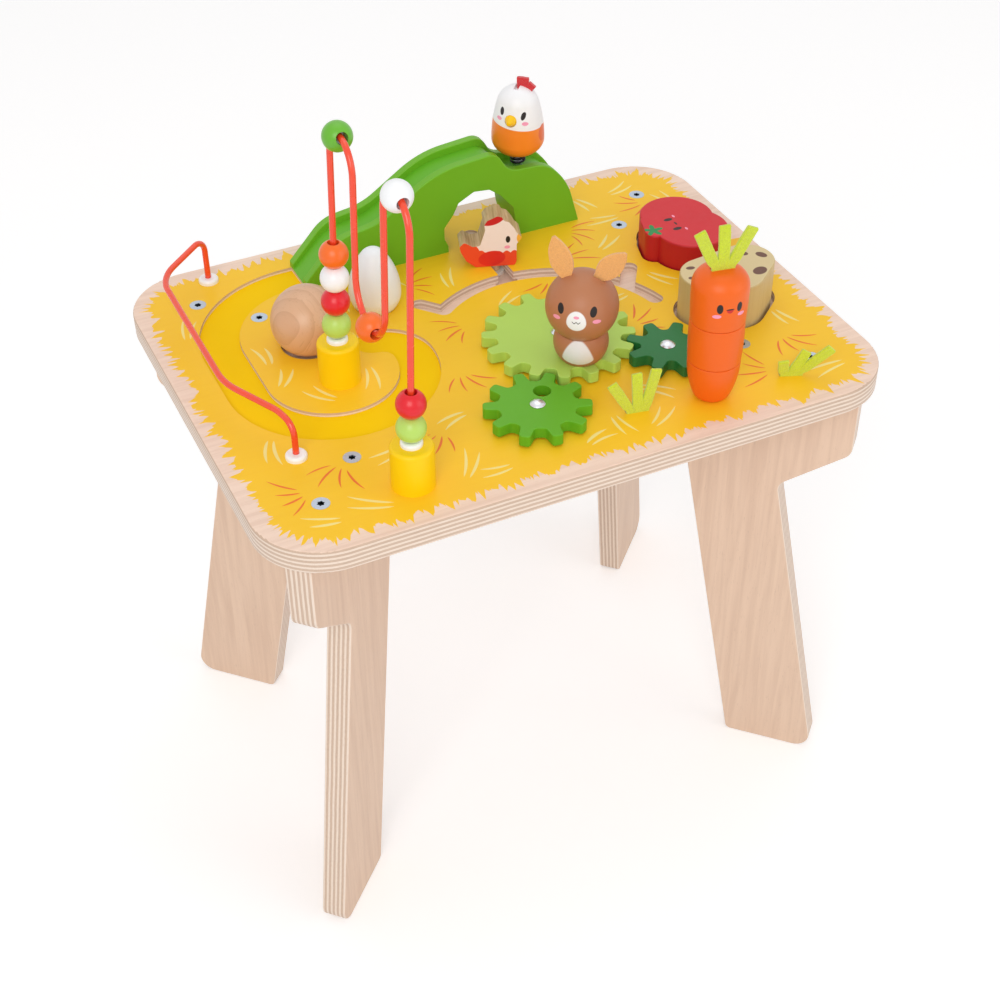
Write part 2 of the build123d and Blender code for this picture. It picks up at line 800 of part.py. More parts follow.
def gear_face(teeth, phase, tooth_shares):
    """Straight-flanked teeth with rounded tips and roots."""
    pitch_radius = gear_module * teeth / 2
    above, below = [share * gear_module for share in tooth_shares]
    tip, root = pitch_radius + above, pitch_radius - below
    slope = math.tan(math.radians(tooth_slope))
    half = tooth_share * math.pi * gear_module / 2
    half_tip, half_root = half - above * slope, half + below * slope
    foot = math.sqrt(root**2 - half_root**2)
    points, radii = [], []
    for tooth in range(teeth):
        turn = Rot(0, 0, phase + 360 * tooth / teeth)
        for x, y in ((foot, -half_root), (tip, -half_tip), (tip, half_tip), (foot, half_root)):
            points.append((turn * Pos(x, y)).position)
        tip_round, root_round = tooth_tip_share * gear_module, tooth_root_share * gear_module
        radii += [root_round, tip_round, tip_round, root_round]
    return outline(points, radii)


def gear(centre, teeth, phase, tooth_shares):
    body = plate(gear_face(teeth, phase, tooth_shares), gear_low, gear_high)
    body = fillet(body.faces().sort_by(Axis.Z)[-1].edges(), gear_edge_round)
    bore = upright(pin_radius + running_gap, gear_low - overrun, gear_high + overrun)
    return at(flat(centre), body - bore)


def mesh_phase(teeth, direction):
    """The phase that puts a tooth of a follower gear in a gap of the large gear."""
    return direction + 180 - ((large_phase - direction) * large_teeth + 180) / teeth


def large_gear():
    body = gear(large_centre, large_teeth, large_phase, large_tooth_shares)
    low = gear_high - rabbit_dowel_bite - fixed_gap
    return body - at(flat(rabbit_foot), upright(rabbit_dowel_radius + fixed_gap, low, gear_high + overrun))


def medium_gear():
    phase = mesh_phase(medium_teeth, medium_direction)
    body = gear(medium_centre, medium_teeth, phase, medium_tooth_shares)
    hole = medium_centre + polar(finger_hole_share * layout_unit, finger_hole_direction)
    return body - at(flat(hole), upright(finger_hole_radius, gear_low - overrun, gear_high + overrun))


def small_gear():
    return gear(small_centre, small_teeth, mesh_phase(small_teeth, small_direction), small_tooth_shares)


def gear_pins():
    """Domed pins with a shoulder just above each gear."""
    head_low = gear_high + seat_gap
    dome_radius = (pin_head_radius**2 + pin_head_height**2) / (2 * pin_head_height)
    ball = Pos(0, 0, head_low + pin_head_height - dome_radius) * Sphere(dome_radius)
    head = ball & upright(pin_head_radius + overrun, head_low, head_low + pin_head_height + overrun)
    pin = head + upright(pin_radius, top_z - pin_bite, head_low)
    return Compound([at(flat(point), pin).solid() for point in gear_centres])


def gear_washers():
    ring = upright(washer_radius, top_z, gear_low - running_gap)
    ring -= upright(pin_radius + fixed_gap, top_z - overrun, gear_low + overrun)
    return Compound([at(flat(point), ring).solid() for point in gear_centres])


rabbit_body_middle = gear_high + rabbit_body_radius - rabbit_body_sink
neck_z = gear_high + rabbit_neck
rabbit_head_middle = neck_z + rabbit_head_radius - rabbit_head_sink


def rabbit_dowel_solid(grow):
    low, high = gear_high - rabbit_dowel_bite, rabbit_head_middle
    return at(flat(rabbit_foot), upright(rabbit_dowel_radius + grow, low - grow, high + grow))


def rabbit_body():
    ball = Pos(0, 0, rabbit_body_middle) * Sphere(rabbit_body_radius)
    body = ball & upright(rabbit_body_radius + overrun, gear_high, neck_z)
    return at(flat(rabbit_foot), body) - rabbit_dowel_solid(fixed_gap)


def ear_face(root):
    """A pointed leaf, drawn as (x, height), with a narrow root below zero."""
    half = ear_width / 2
    belly = ear_belly_share * ear_length
    stalk = ear_stalk_share * half
    right = ThreePointArc((stalk, 0), (half, belly), (0, ear_length))
    left = ThreePointArc((0, ear_length), (-half, belly), (-stalk, 0))
    foot = Polyline((-stalk, 0), (-stalk, -root), (stalk, -root), (stalk, 0))
    return make_face(Wire([right, left, *foot.edges()]))


def rabbit_ear(side, grow):
    lean = ear_leans[side]
    across = (2 * side - 1) * ear_spread
    ear = standing(ear_face(ear_root), -ear_thickness / 2 - grow, ear_thickness / 2 + grow)
    height = rabbit_head_middle + math.sqrt(rabbit_head_radius**2 - ear_spread**2)
    turned = Pos(across, 0, height) * Rot(0, lean, 0) * ear
    return at(flat(rabbit_foot), Rot(0, 0, rabbit_facing + 90) * turned)


def rabbit_head():
    ball = Pos(0, 0, rabbit_head_middle) * Sphere(rabbit_head_radius)
    head = ball & upright(rabbit_head_radius + overrun, neck_z, rabbit_head_middle + 2 * rabbit_head_radius)
    head = at(flat(rabbit_foot), head) - rabbit_dowel_solid(fixed_gap)
    for side in (0, 1):
        head -= rabbit_ear(side, fixed_gap)
    return head


def puzzle_piece(face, rise):
    piece = plate(face, sheet_z + seat_gap, top_z + rise)
    return fillet(piece.faces().sort_by(Axis.Z)[-1].edges(), puzzle_edge_round)


def carrot_radius_at(level):
    """The carrot's radius between its foot, its lower seam and the rest."""
    seam = carrot_seam_shares[0] * carrot_height
    if level < seam:
        swell = carrot_waist_radius - carrot_foot_radius
        return carrot_foot_radius + swell * math.sin(math.pi / 2 * level / seam)
    swell = carrot_radius - carrot_waist_radius
    return carrot_waist_radius + swell * (level - seam) / (carrot_height - seam)


peg_high = top_z + peg_height_share * carrot_height


def carrot_piece(low, high):
    """A turned segment of the carrot between two levels above the table top."""
    middle = (low + high) / 2
    lower = Vector(carrot_radius_at(low), top_z + low)
    upper = Vector(carrot_radius_at(high), top_z + high)
    flank = ThreePointArc(lower, (carrot_radius_at(middle) + carrot_barrel, top_z + middle), upper)
    face = make_face(Wire([Line((0, top_z + low), lower), flank, Line(upper, (0, top_z + high)),
                           Line((0, top_z + high), (0, top_z + low))]))
    piece = at(flat(carrot_foot), spun(face))
    low_round = carrot_toe_round if low <= seat_gap else carrot_seam_round
    high_round = carrot_crown_round if high >= carrot_height else carrot_seam_round
    piece = fillet(piece.faces().sort_by(Axis.Z)[0].edges(), low_round)
    piece = fillet(piece.faces().sort_by(Axis.Z)[-1].edges(), high_round)
    bore_high = min(top_z + high + overrun, peg_high + seat_gap)
    return piece - at(flat(carrot_foot), upright(peg_radius + peg_gap, top_z + low - overrun, bore_high))


def carrot_leaf_solid(grow):
    face = blade_fan(leaf_width + 2 * grow, leaf_spread, leaf_height, leaf_blade, leaf_root + grow)
    leaf = felt(face, leaf_thickness + 2 * grow, leaf_facing)
    return Pos(carrot_foot.X, carrot_foot.Y, top_z + carrot_height) * leaf


def wooden_ball():
    return Pos(ball_centre.X, ball_centre.Y, sheet_z + seat_gap + ball_radius) * Sphere(ball_radius)


def egg():
    face, foot_z = egg_profile(egg_radius, egg_height, egg_radius, egg_side_radius, egg_foot_radius)
    return Pos(egg_centre.X, egg_centre.Y, sheet_z + seat_gap - foot_z) * spun(face)


post_top = top_z + post_height
stack_low = post_top + ferrule_height


def post(point):
    body = fillet(upright(post_radius, top_z, post_top).faces().sort_by(Axis.Z)[-1].edges(), post_round)
    body -= upright(wire_radius + fixed_gap, post_top - wire_bite, post_top + overrun)
    return at(flat(point), body - wood_screw(wood_screw_bite, fixed_gap))


def ferrule(low, height):
    """A domed collar round a wire."""
    ring = upright(ferrule_radius, low, low + height)
    ring = fillet(ring.faces().sort_by(Axis.Z)[-1].edges(), ferrule_round_share * height)
    return ring - upright(wire_radius + fixed_gap, low - overrun, low + height + overrun)


def ferrules(points, low, height):
    return Compound([at(flat(point), ferrule(low, height)).solid() for point in points])


wire_foot = stack_low + wire_bend_reach / 2


def on_wire(y, height):
    """A place on the leaning plane of the tall wire: its y, and how far it is up the lean from the bend."""
    lean = math.radians(wire_lean)
    return Vector(post_left.X + height * math.sin(lean), y, wire_foot + height * math.cos(lean))


def tall_wire():
    """Four strands joined by two loops above and one below, leaning a little from the posts upwards."""
    half = wire_bend_reach / 2
    levels = [top_z + height - wire_foot for height in loop_heights]
    low = post_top - wire_bite + fixed_gap
    first, last = Vector(post_left.X, strand_ys[0], low), Vector(post_left.X, strand_ys[3], low)
    bend, end_bend = Vector(first.X, first.Y, stack_low), Vector(last.X, last.Y, stack_low)
    begin, end = on_wire(first.Y, half), on_wire(last.Y, half)
    edges = [Line(first, bend), TangentArc(bend, begin, tangent=(0, 0, 1))]
    for count, (span, level) in enumerate(zip(loop_spans, levels)):
        y = strand_ys[count]
        bulge = span / 2 if count % 2 == 0 else -span / 2
        start, stop = on_wire(y, level), on_wire(y - span, level)
        edges.append(Line(begin, start))
        edges.append(ThreePointArc(start, on_wire(y - span / 2, level + bulge), stop))
        begin = stop
    edges.append(Line(begin, end))
    edges.append(TangentArc(end_bend, end, tangent=(0, 0, 1)))
    edges.append(Line(end_bend, last))
    return swept(Wire(edges), wire_radius)


def low_wire():
    """A rail that rises from one ferrule, runs along the short edge and dips into the other."""
    route = [place((x, y)) + Vector(0, 0, z * low_wire_height) for x, y, z in low_wire_route_shares]
    low = top_z - wire_bite + fixed_gap
    first, last = Vector(route[0].X, route[0].Y, low), Vector(route[-1].X, route[-1].Y, low)
    bends = [low_wire_bend, *low_wire_sweeps, low_wire_bend]
    return swept(FilletPolyline(first, *route, last, radius=bends), wire_radius)


def bead_solid():
    """A drilled ball with flats, its bore along Z."""
    flats = Cylinder(bead_radius + overrun, bead_length)
    return (Sphere(bead_radius) & flats) - Cylinder(bead_bore, bead_length + overrun)


def stacked_bead(strand, count):
    low = stack_gap + count * (bead_length + seat_gap) - wire_bend_reach / 2
    return at(on_wire(strand_ys[strand], low + bead_length / 2), Rot(0, wire_lean, 0) * bead_solid())


def loop_bead(loop):
    """A bead part of the way round a loop, moved inwards so that the bent wire clears its straight bore."""
    radius = loop_spans[loop] / 2
    degrees = loop_bead_angles[loop]
    inner = (radius + math.sqrt(radius**2 - (bead_length / 2) ** 2)) / 2
    spot = polar(inner, degrees)
    middle = strand_ys[loop] - radius
    level = top_z + loop_heights[loop] - wire_foot
    tilt = Rot(0, wire_lean, 0) * Rot(degrees - 180, 0, 0)
    return at(on_wire(middle + spot.X, level + spot.Y), tilt * bead_solid())


carrot_seams = [share * carrot_height for share in carrot_seam_shares]
nodes = {
    "top_panel": top_panel(),
    "base_panel": base_panel(),
    "track_floor": track_floor(),
    **{"leg_" + name: leg(sides) for name, sides in corners.items()},
    "leg_screws": leg_screws(),
    "leg_sleeves": leg_sleeves(),
    "hill_front_panel": hill_panel(hill_near, core_near),
    "hill_core": hill_core_panel(),
    "hill_rear_panel": hill_panel(core_far, hill_far),
    "hill_screws": wood_screws(hill_screw_places),
    "spring_stud": spring_stud(),
    "hen_spring": hen_spring(),
    "hen_plug": hen_plug(),
    "hen_body": hen_body(),
    "hen_beak": hen_beak(),
    "hen_comb": comb_solid(0),
    "hen_block": hen_block(),
    "hen_block_peg": block_peg(),
    "hen_block_guide": block_guide(),
    "large_gear": large_gear(),
    "medium_gear": medium_gear(),
    "small_gear": small_gear(),
    "gear_pins": gear_pins(),
    "gear_washers": gear_washers(),
    "rabbit_body": rabbit_body(),
    "rabbit_head": rabbit_head(),
    "rabbit_dowel": rabbit_dowel_solid(0),
    "rabbit_ear_left": rabbit_ear(0, 0),
    "rabbit_ear_right": rabbit_ear(1, 0),
    "tomato_piece": puzzle_piece(tomato_face(0), tomato_rise),
    "potato_piece": puzzle_piece(potato_face(0), potato_rise),
    "carrot_peg": at(carrot_foot, upright(peg_radius, -peg_bite + fixed_gap, peg_high - top_z)),
    "carrot_tip": carrot_piece(seat_gap, carrot_seams[0]),
    "carrot_middle": carrot_piece(carrot_seams[0] + seat_gap, carrot_seams[1]),
    "carrot_top": carrot_piece(carrot_seams[1] + seat_gap, carrot_height) - carrot_leaf_solid(fixed_gap),
    "carrot_leaves": carrot_leaf_solid(0),
    "front_tuft": tuft(0, 0),
    "right_tuft": tuft(1, 0),
    "wooden_ball": wooden_ball(),
    "egg": egg(),
    "post_left": post(post_left),
    "post_right": post(post_right),
    "post_screws": wood_screws(posts),
    "post_ferrules": ferrules(posts, post_top, ferrule_height),
    "tall_wire": tall_wire(),
    "low_wire": low_wire(),
    "low_wire_ferrules": ferrules(low_wire_ends, top_z, low_ferrule_height),
    "bead_left_lime": stacked_bead(0, 0),
    "bead_left_red": stacked_bead(0, 1),
    "bead_left_white": stacked_bead(0, 2),
    "bead_left_orange": stacked_bead(0, 3),
    "bead_loop_green": loop_bead(0),
    "bead_dip_orange": loop_bead(1),
    "bead_loop_white": loop_bead(2),
    "bead_right_lime": stacked_bead(3, 0),
    "bead_right_red": stacked_bead(3, 1),
}

os.makedirs("parts", exist_ok=True)
for node, shape in nodes.items():
    export_step(shape, os.path.join("parts", node + ".step"))
    print(node, round(shape.volume, 1))
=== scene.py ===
import math
import random

import bmesh
import bpy
from mathutils import Matrix, Vector


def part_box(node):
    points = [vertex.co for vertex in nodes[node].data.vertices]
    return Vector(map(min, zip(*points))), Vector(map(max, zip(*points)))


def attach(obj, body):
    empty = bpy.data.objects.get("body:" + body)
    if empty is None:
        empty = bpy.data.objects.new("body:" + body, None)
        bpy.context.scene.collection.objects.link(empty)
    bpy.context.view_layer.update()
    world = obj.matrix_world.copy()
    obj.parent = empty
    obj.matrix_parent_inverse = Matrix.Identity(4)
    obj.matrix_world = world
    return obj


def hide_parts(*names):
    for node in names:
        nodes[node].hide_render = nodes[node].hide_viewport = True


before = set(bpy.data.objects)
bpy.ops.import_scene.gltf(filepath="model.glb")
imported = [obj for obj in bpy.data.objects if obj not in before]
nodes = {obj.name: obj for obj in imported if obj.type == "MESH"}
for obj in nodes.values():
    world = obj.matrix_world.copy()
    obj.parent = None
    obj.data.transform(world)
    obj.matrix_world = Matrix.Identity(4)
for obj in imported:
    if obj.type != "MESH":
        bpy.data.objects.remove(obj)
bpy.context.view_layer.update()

MM = 0.001


def middle(node):
    """The middle of a node's box, in millimetres."""
    low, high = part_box(node)
    return tuple((low + high) / 2 / MM)


TOP = round(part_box("top_panel")[1].z / MM, 3)
ROOT_HALF = math.sqrt(0.5)


def rgb(red, green, blue):
    """A colour given as display values, in the linear values that shaders take."""
    def linear(value):
        value /= 255
        return value / 12.92 if value <= 0.04045 else ((value + 0.055) / 1.055) ** 2.4
    return (linear(red), linear(green), linear(blue), 1.0)


def shade(colour, factor):
    """A colour made darker or lighter."""
    return tuple(min(part * factor, 1.0) for part in colour[:3]) + (1.0,)


class Graph:
    """A material and short calls for its nodes. Places are in millimetres of the part's frame."""

    def __init__(self, name):
        self.material = bpy.data.materials.new(name)
        self.material.use_nodes = True
        self.tree = self.material.node_tree
        self.shader = self.tree.nodes["Principled BSDF"]
        coords = self.tree.nodes.new("ShaderNodeTexCoord")
        self.point = self.vector("SCALE", coords.outputs["Object"], scale=1 / MM)
        self.x, self.y, self.z = self.split(self.point)
        self.normal = coords.outputs["Normal"]
        self.nx, self.ny, self.nz = self.split(self.normal)

    def put(self, socket, value):
        if isinstance(value, bpy.types.NodeSocket):
            self.tree.links.new(value, socket)
        else:
            socket.default_value = value

    def math(self, operation, *values):
        node = self.tree.nodes.new("ShaderNodeMath")
        node.operation = operation
        for socket, value in zip(node.inputs, values):
            self.put(socket, value)
        return node.outputs[0]

    def add(self, *values):
        total = values[0]
        for value in values[1:]:
            total = self.math("ADD", total, value)
        return total

    def times(self, a, b):
        return self.math("MULTIPLY", a, b)

    def less(self, a, b):
        return self.math("SUBTRACT", a, b)

    def invert(self, mask):
        return self.less(1.0, mask)

    def vector(self, operation, a, b=None, scale=None):
        node = self.tree.nodes.new("ShaderNodeVectorMath")
        node.operation = operation
        self.put(node.inputs[0], a)
        if b is not None:
            self.put(node.inputs[1], b)
        if scale is not None:
            self.put(node.inputs["Scale"], scale)
        return node.outputs["Value"] if operation in ("DOT_PRODUCT", "LENGTH") else node.outputs["Vector"]

    def split(self, vector):
        node = self.tree.nodes.new("ShaderNodeSeparateXYZ")
        self.put(node.inputs[0], vector)
        return node.outputs[0], node.outputs[1], node.outputs[2]

    def join(self, x, y, z):
        node = self.tree.nodes.new("ShaderNodeCombineXYZ")
        for socket, value in zip(node.inputs, (x, y, z)):
            self.put(socket, value)
        return node.outputs[0]

    def stretch(self, x, y, z):
        """The place scaled by a factor along each axis, for grain and fibres."""
        return self.vector("MULTIPLY", self.point, (x, y, z))

    def noise(self, scale, detail=2.0, vector=None, roughness=0.5, distortion=0.0):
        node = self.tree.nodes.new("ShaderNodeTexNoise")
        self.put(node.inputs["Vector"], vector or self.point)
        values = {"Scale": scale, "Detail": detail, "Roughness": roughness, "Distortion": distortion}
        for name, value in values.items():
            self.put(node.inputs[name], value)
        return node.outputs[0]

    def chance(self, value):
        """A random number that belongs to a whole number."""
        node = self.tree.nodes.new("ShaderNodeTexWhiteNoise")
        node.noise_dimensions = "1D"
        self.put(node.inputs["W"], value)
        return node.outputs["Value"]

    def step(self, value, low, high):
        """0 below low, 1 above high, smooth between."""
        node = self.tree.nodes.new("ShaderNodeMapRange")
        node.interpolation_type = "SMOOTHSTEP"
        self.put(node.inputs["Value"], value)
        self.put(node.inputs["From Min"], low)
        self.put(node.inputs["From Max"], high)
        return node.outputs["Result"]

    def mix(self, factor, a, b):
        node = self.tree.nodes.new("ShaderNodeMix")
        node.data_type = "RGBA"
        self.put(node.inputs[0], factor)
        self.put(node.inputs[6], a)
        self.put(node.inputs[7], b)
        return node.outputs[2]

    def blot(self, u, v, centre, half, turn=0.0, soft=0.06):
        """An ellipse in (u, v), as a mask."""
        du, dv = self.less(u, centre[0]), self.less(v, centre[1])
        if turn:
            c, s = math.cos(math.radians(turn)), math.sin(math.radians(turn))
            du, dv = (self.add(self.times(du, c), self.times(dv, s)),
                      self.less(self.times(dv, c), self.times(du, s)))
        square = self.add(self.math("POWER", self.times(du, 1 / half[0]), 2.0),
                          self.math("POWER", self.times(dv, 1 / half[1]), 2.0))
        return self.invert(self.step(square, 1 - 2 * soft, 1 + 2 * soft))

    def finish(self, colour, roughness, bump=None, strength=0.2, distance=0.2, **sockets):
        self.put(self.shader.inputs["Base Color"], colour)
        self.put(self.shader.inputs["Roughness"], roughness)
        if bump is not None:
            node = self.tree.nodes.new("ShaderNodeBump")
            self.put(node.inputs["Strength"], strength)
            self.put(node.inputs["Distance"], distance * MM)
            self.put(node.inputs["Height"], bump)
            self.put(self.shader.inputs["Normal"], node.outputs[0])
        for name, value in sockets.items():
            self.shader.inputs[name.replace("_", " ")].default_value = value
        return self.material


def rough_range(g, value, low, high):
    """A roughness that follows a pattern between two limits."""
    return g.add(low, g.times(value, high - low))


def looking(g, cosine):
    """A mask of the faces that look along a direction, from the cosine to it."""
    return g.step(cosine, 0.72, 0.86)


# Paints, woods, felt and metal

# How the grain under a paint is drawn out: up the piece, along the board, or not at all
GRAIN_UP, GRAIN_ALONG, GRAIN_NONE = (1.0, 1.0, 0.12), (0.12, 1.0, 1.0), (1.0, 1.0, 1.0)


def painted(name, colour, rough=0.42, pattern=None, grain=GRAIN_UP, coat=0.06, fleck=0.07, gloss=0.32):
    """Sprayed paint on wood: soft tone changes, a faint grain that shows through and fine peel."""
    g = Graph(name)
    tone = g.noise(0.035, 3.0)
    base = g.mix(tone, shade(colour, 0.95), shade(colour, 1.05))
    fibre = g.noise(0.9, 4.0, g.stretch(*grain), 0.65)
    base = g.mix(g.times(g.step(fibre, 0.58, 0.75), fleck), base, shade(colour, 0.72))
    if pattern:
        base = pattern(g, base)
    peel = g.add(g.times(g.noise(1.6, 2.0), 0.5), fibre)
    return g.finish(base, rough_range(g, g.noise(0.25, 3.0), rough - 0.07, rough + 0.09), peel, 0.13, 0.12,
                    Coat_Weight=coat, Coat_Roughness=0.28, Specular_IOR_Level=gloss)


def veneer(g, along, tone, dark):
    """Beech veneer: long soft streaks and short flecks along one axis."""
    stretch = [1.0, 1.0, 1.0]
    stretch[along] = 0.045
    streak = g.noise(0.24, 5.0, g.stretch(*stretch), 0.6, 0.4)
    base = g.mix(g.step(streak, 0.3, 0.75), shade(tone, 1.04), dark)
    cloud = g.noise(0.012, 3.0)
    base = g.mix(g.times(cloud, 0.4), base, shade(tone, 1.06))
    fleck_stretch = [1.0, 1.0, 1.0]
    fleck_stretch[along] = 0.16
    fleck = g.noise(1.3, 2.0, g.stretch(*fleck_stretch), 0.5)
    return g.mix(g.times(g.step(fleck, 0.62, 0.74), 0.35), base, shade(dark, 0.84)), streak


def layers(g, depth, sheet, light, dark, fibre_axis):
    """The cut edge of plywood: sheets of turn about grain with thin glue lines."""
    stretch = [1.0, 1.0, 1.0]
    stretch[fibre_axis] = 0.06
    wander = g.times(g.less(g.noise(0.05, 2.0), 0.5), 0.5)
    count = g.math("DIVIDE", g.add(depth, wander), sheet)
    part = g.math("FRACT", count)
    odd = g.math("FLOORED_MODULO", g.math("FLOOR", count), 2.0)
    pores = g.noise(1.9, 3.0, g.stretch(*stretch), 0.7)
    pale = g.mix(g.times(g.step(pores, 0.45, 0.7), 0.35), light, shade(dark, 1.05))
    deep = g.mix(g.times(g.step(pores, 0.4, 0.7), 0.5), dark, shade(dark, 0.76))
    base = g.mix(odd, pale, deep)
    glue = g.math("MAXIMUM", g.invert(g.step(part, 0.0, 0.13)), g.step(part, 0.9, 1.0))
    return g.mix(g.times(glue, 0.28), base, shade(dark, 0.68)), pores


FACE_PLY = rgb(242, 216, 198)
FACE_PLY_DARK = rgb(230, 200, 180)
LEG_PLY = rgb(228, 199, 175)
LEG_PLY_DARK = rgb(217, 185, 161)
EDGE_LIGHT = rgb(240, 222, 206)
EDGE_DARK = rgb(212, 184, 162)
PRINT_YELLOW = rgb(252, 200, 34)
TRACK_YELLOW = rgb(255, 206, 0)
BOARD_SHEET = 1.5
HALF_LENGTH, HALF_DEPTH = (round(size / MM, 3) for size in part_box("top_panel")[1].xy)
CORNER = 42.0
QUARTER_STEP = 411.0
PRINT_MARGIN = 14.6


def board_edge(g):
    """The cut edge of the top's boards, with sheets counted from the table top."""
    return layers(g, g.less(g.z, TOP), BOARD_SHEET, EDGE_LIGHT, EDGE_DARK, 0)


def rim_distance(g):
    """How far a place lies inside the board's rounded outline, and how far it is round the outline."""
    half_x, half_y, corner = HALF_LENGTH, HALF_DEPTH, CORNER
    ax, ay = g.math("ABSOLUTE", g.x), g.math("ABSOLUTE", g.y)
    qx, qy = g.less(ax, half_x - corner), g.less(ay, half_y - corner)
    px, py = g.math("MAXIMUM", qx, 0.0), g.math("MAXIMUM", qy, 0.0)
    outside = g.vector("LENGTH", g.join(px, py, 0.0))
    inside = g.math("MINIMUM", g.math("MAXIMUM", qx, qy), 0.0)
    depth = g.less(corner, g.add(outside, inside))
    turn = g.math("ARCTAN2", py, g.math("MAXIMUM", px, 0.001))
    around = g.add(g.math("MINIMUM", ay, half_y - corner), g.times(turn, corner),
                   g.less(half_x - corner, g.math("MINIMUM", ax, half_x - corner)))
    quarter = g.add(g.math("GREATER_THAN", g.x, 0.0), g.times(g.math("GREATER_THAN", g.y, 0.0), 2.0))
    return depth, g.add(around, g.times(quarter, QUARTER_STEP))


def fringe(g, around, pitch, reach, seed):
    """Pointed straws of uneven length and lean, as a height along the outline."""
    sway = g.times(g.noise(0.11, 2.0, g.join(around, seed, 0.0)), 1.6)
    count = g.add(g.math("DIVIDE", around, pitch), sway, seed)
    cell, part = g.math("FLOOR", count), g.math("FRACT", count)
    lean = g.add(0.15, g.times(g.chance(g.add(cell, 0.37 + seed)), 0.7))
    far_side = g.math("DIVIDE", g.less(1.0, part), g.less(1.0, lean))
    rise = g.math("MINIMUM", g.math("DIVIDE", part, lean), far_side)
    size = g.add(0.3, g.times(g.chance(g.add(cell, 0.11 + seed)), 0.7))
    return g.times(g.times(g.math("POWER", rise, 1.25), size), reach)


def printed_top():
    """A printed straw field on the top sheet, with a bare margin and cut edges of plywood."""
    g = Graph("printed_top")
    wood, streak = veneer(g, 0, FACE_PLY, FACE_PLY_DARK)
    edge = board_edge(g)[0]
    depth, around = rim_distance(g)
    drift = g.times(g.less(g.noise(0.025, 1.0), 0.5), 7.0)
    straws = g.math("MAXIMUM", fringe(g, around, 12.0, 13.0, 0.0), fringe(g, around, 6.8, 10.5, 5.0))
    straws = g.math("MAXIMUM", straws, fringe(g, around, 4.1, 7.0, 9.0))
    field = g.step(g.less(g.add(depth, straws), g.add(PRINT_MARGIN, drift)), -0.12, 0.12)
    tone = g.noise(0.02, 3.0)
    ink = g.mix(tone, shade(PRINT_YELLOW, 0.95), shade(PRINT_YELLOW, 1.07))
    ink = g.mix(g.times(g.step(streak, 0.35, 0.75), 0.10), ink, rgb(240, 178, 30))
    top = g.mix(field, wood, ink)
    up = looking(g, g.nz)
    colour = g.mix(up, edge, top)
    height = g.add(g.times(streak, 0.4), g.times(g.noise(1.2, 2.0), 0.3), g.times(field, 0.25))
    rough = g.add(g.times(g.invert(up), 0.2), rough_range(g, g.noise(0.2, 3.0), 0.36, 0.48))
    return g.finish(colour, rough, height, 0.14, 0.15,
                    Coat_Weight=0.05, Coat_Roughness=0.3, Specular_IOR_Level=0.3)


def base_board():
    """The lower board: lacquered veneer with cut edges of plywood."""
    g = Graph("base_board")
    wood, streak = veneer(g, 0, FACE_PLY, FACE_PLY_DARK)
    edge, pores = board_edge(g)
    flat = looking(g, g.math("ABSOLUTE", g.nz))
    return g.finish(g.mix(flat, edge, wood), rough_range(g, g.noise(0.2, 3.0), 0.38, 0.5),
                    g.add(g.times(streak, 0.5), pores), 0.12, 0.15, Coat_Weight=0.08, Coat_Roughness=0.3)


LEG_THICKNESS, LEG_SHEETS = 16.0, 11


def leg_ply(node):
    """Lacquered plank on a corner's diagonal: veneer on its wide faces, sheets on its narrow ones."""
    g = Graph(node + "_ply")
    wood, streak = veneer(g, 2, LEG_PLY, LEG_PLY_DARK)
    x, y = middle(node)[:2]
    across = (ROOT_HALF, -math.copysign(ROOT_HALF, x * y), 0.0)
    depth = g.less(g.vector("DOT_PRODUCT", g.point, across), x * across[0] + y * across[1])
    sheet = LEG_THICKNESS / LEG_SHEETS
    edge, pores = layers(g, g.add(depth, LEG_THICKNESS / 2), sheet, EDGE_LIGHT, EDGE_DARK, 2)
    wide = looking(g, g.math("ABSOLUTE", g.vector("DOT_PRODUCT", g.normal, across)))
    return g.finish(g.mix(wide, edge, wood), rough_range(g, g.noise(0.2, 3.0), 0.42, 0.56),
                    g.add(g.times(streak, 0.6), g.times(pores, 0.5)), 0.14, 0.15,
                    Coat_Weight=0.06, Coat_Roughness=0.35)


def turned_wood(name, tone, dark, centre, tilt):
    """Turned beech: growth rings cut at an angle, with short flecks."""
    g = Graph(name)
    local = g.vector("SUBTRACT", g.point, centre)
    axis = Vector(tilt).normalized()
    along = g.vector("DOT_PRODUCT", local, tuple(axis))
    side = g.vector("SUBTRACT", local, g.vector("SCALE", tuple(axis), scale=along))
    bend = g.times(g.noise(0.025, 2.0), 7.0)
    ring = g.add(g.vector("LENGTH", g.vector("ADD", side, (64.0, 20.0, 12.0))), bend)
    part = g.math("FRACT", g.math("DIVIDE", ring, 5.6))
    late = g.math("POWER", part, 2.6)
    base = g.mix(g.times(late, 0.38), tone, dark)
    across = g.vector("LENGTH", side)
    fleck = g.noise(1.0, 2.0, g.join(g.times(along, 0.1), across, g.times(ring, 1.4)))
    base = g.mix(g.times(g.step(fleck, 0.58, 0.72), 0.3), base, shade(dark, 0.86))
    return g.finish(base, rough_range(g, fleck, 0.34, 0.48), g.add(late, fleck), 0.06, 0.15,
                    Coat_Weight=0.15, Coat_Roughness=0.25)


def felted(name, colour):
    """Pressed wool felt: tangled fibres, fine pile and a soft edge."""
    g = Graph(name)
    tangle = g.noise(0.55, 4.0, None, 0.7, 2.2)
    pile = g.noise(2.6, 3.0, None, 0.7, 1.2)
    base = g.mix(g.step(tangle, 0.3, 0.7), shade(colour, 0.88), shade(colour, 1.1))
    base = g.mix(g.times(g.step(pile, 0.55, 0.72), 0.3), base, shade(colour, 1.25))
    return g.finish(base, 0.95, g.add(g.times(tangle, 1.2), pile), 0.6, 0.5,
                    Sheen_Weight=0.5, Sheen_Roughness=0.6, Specular_IOR_Level=0.15)


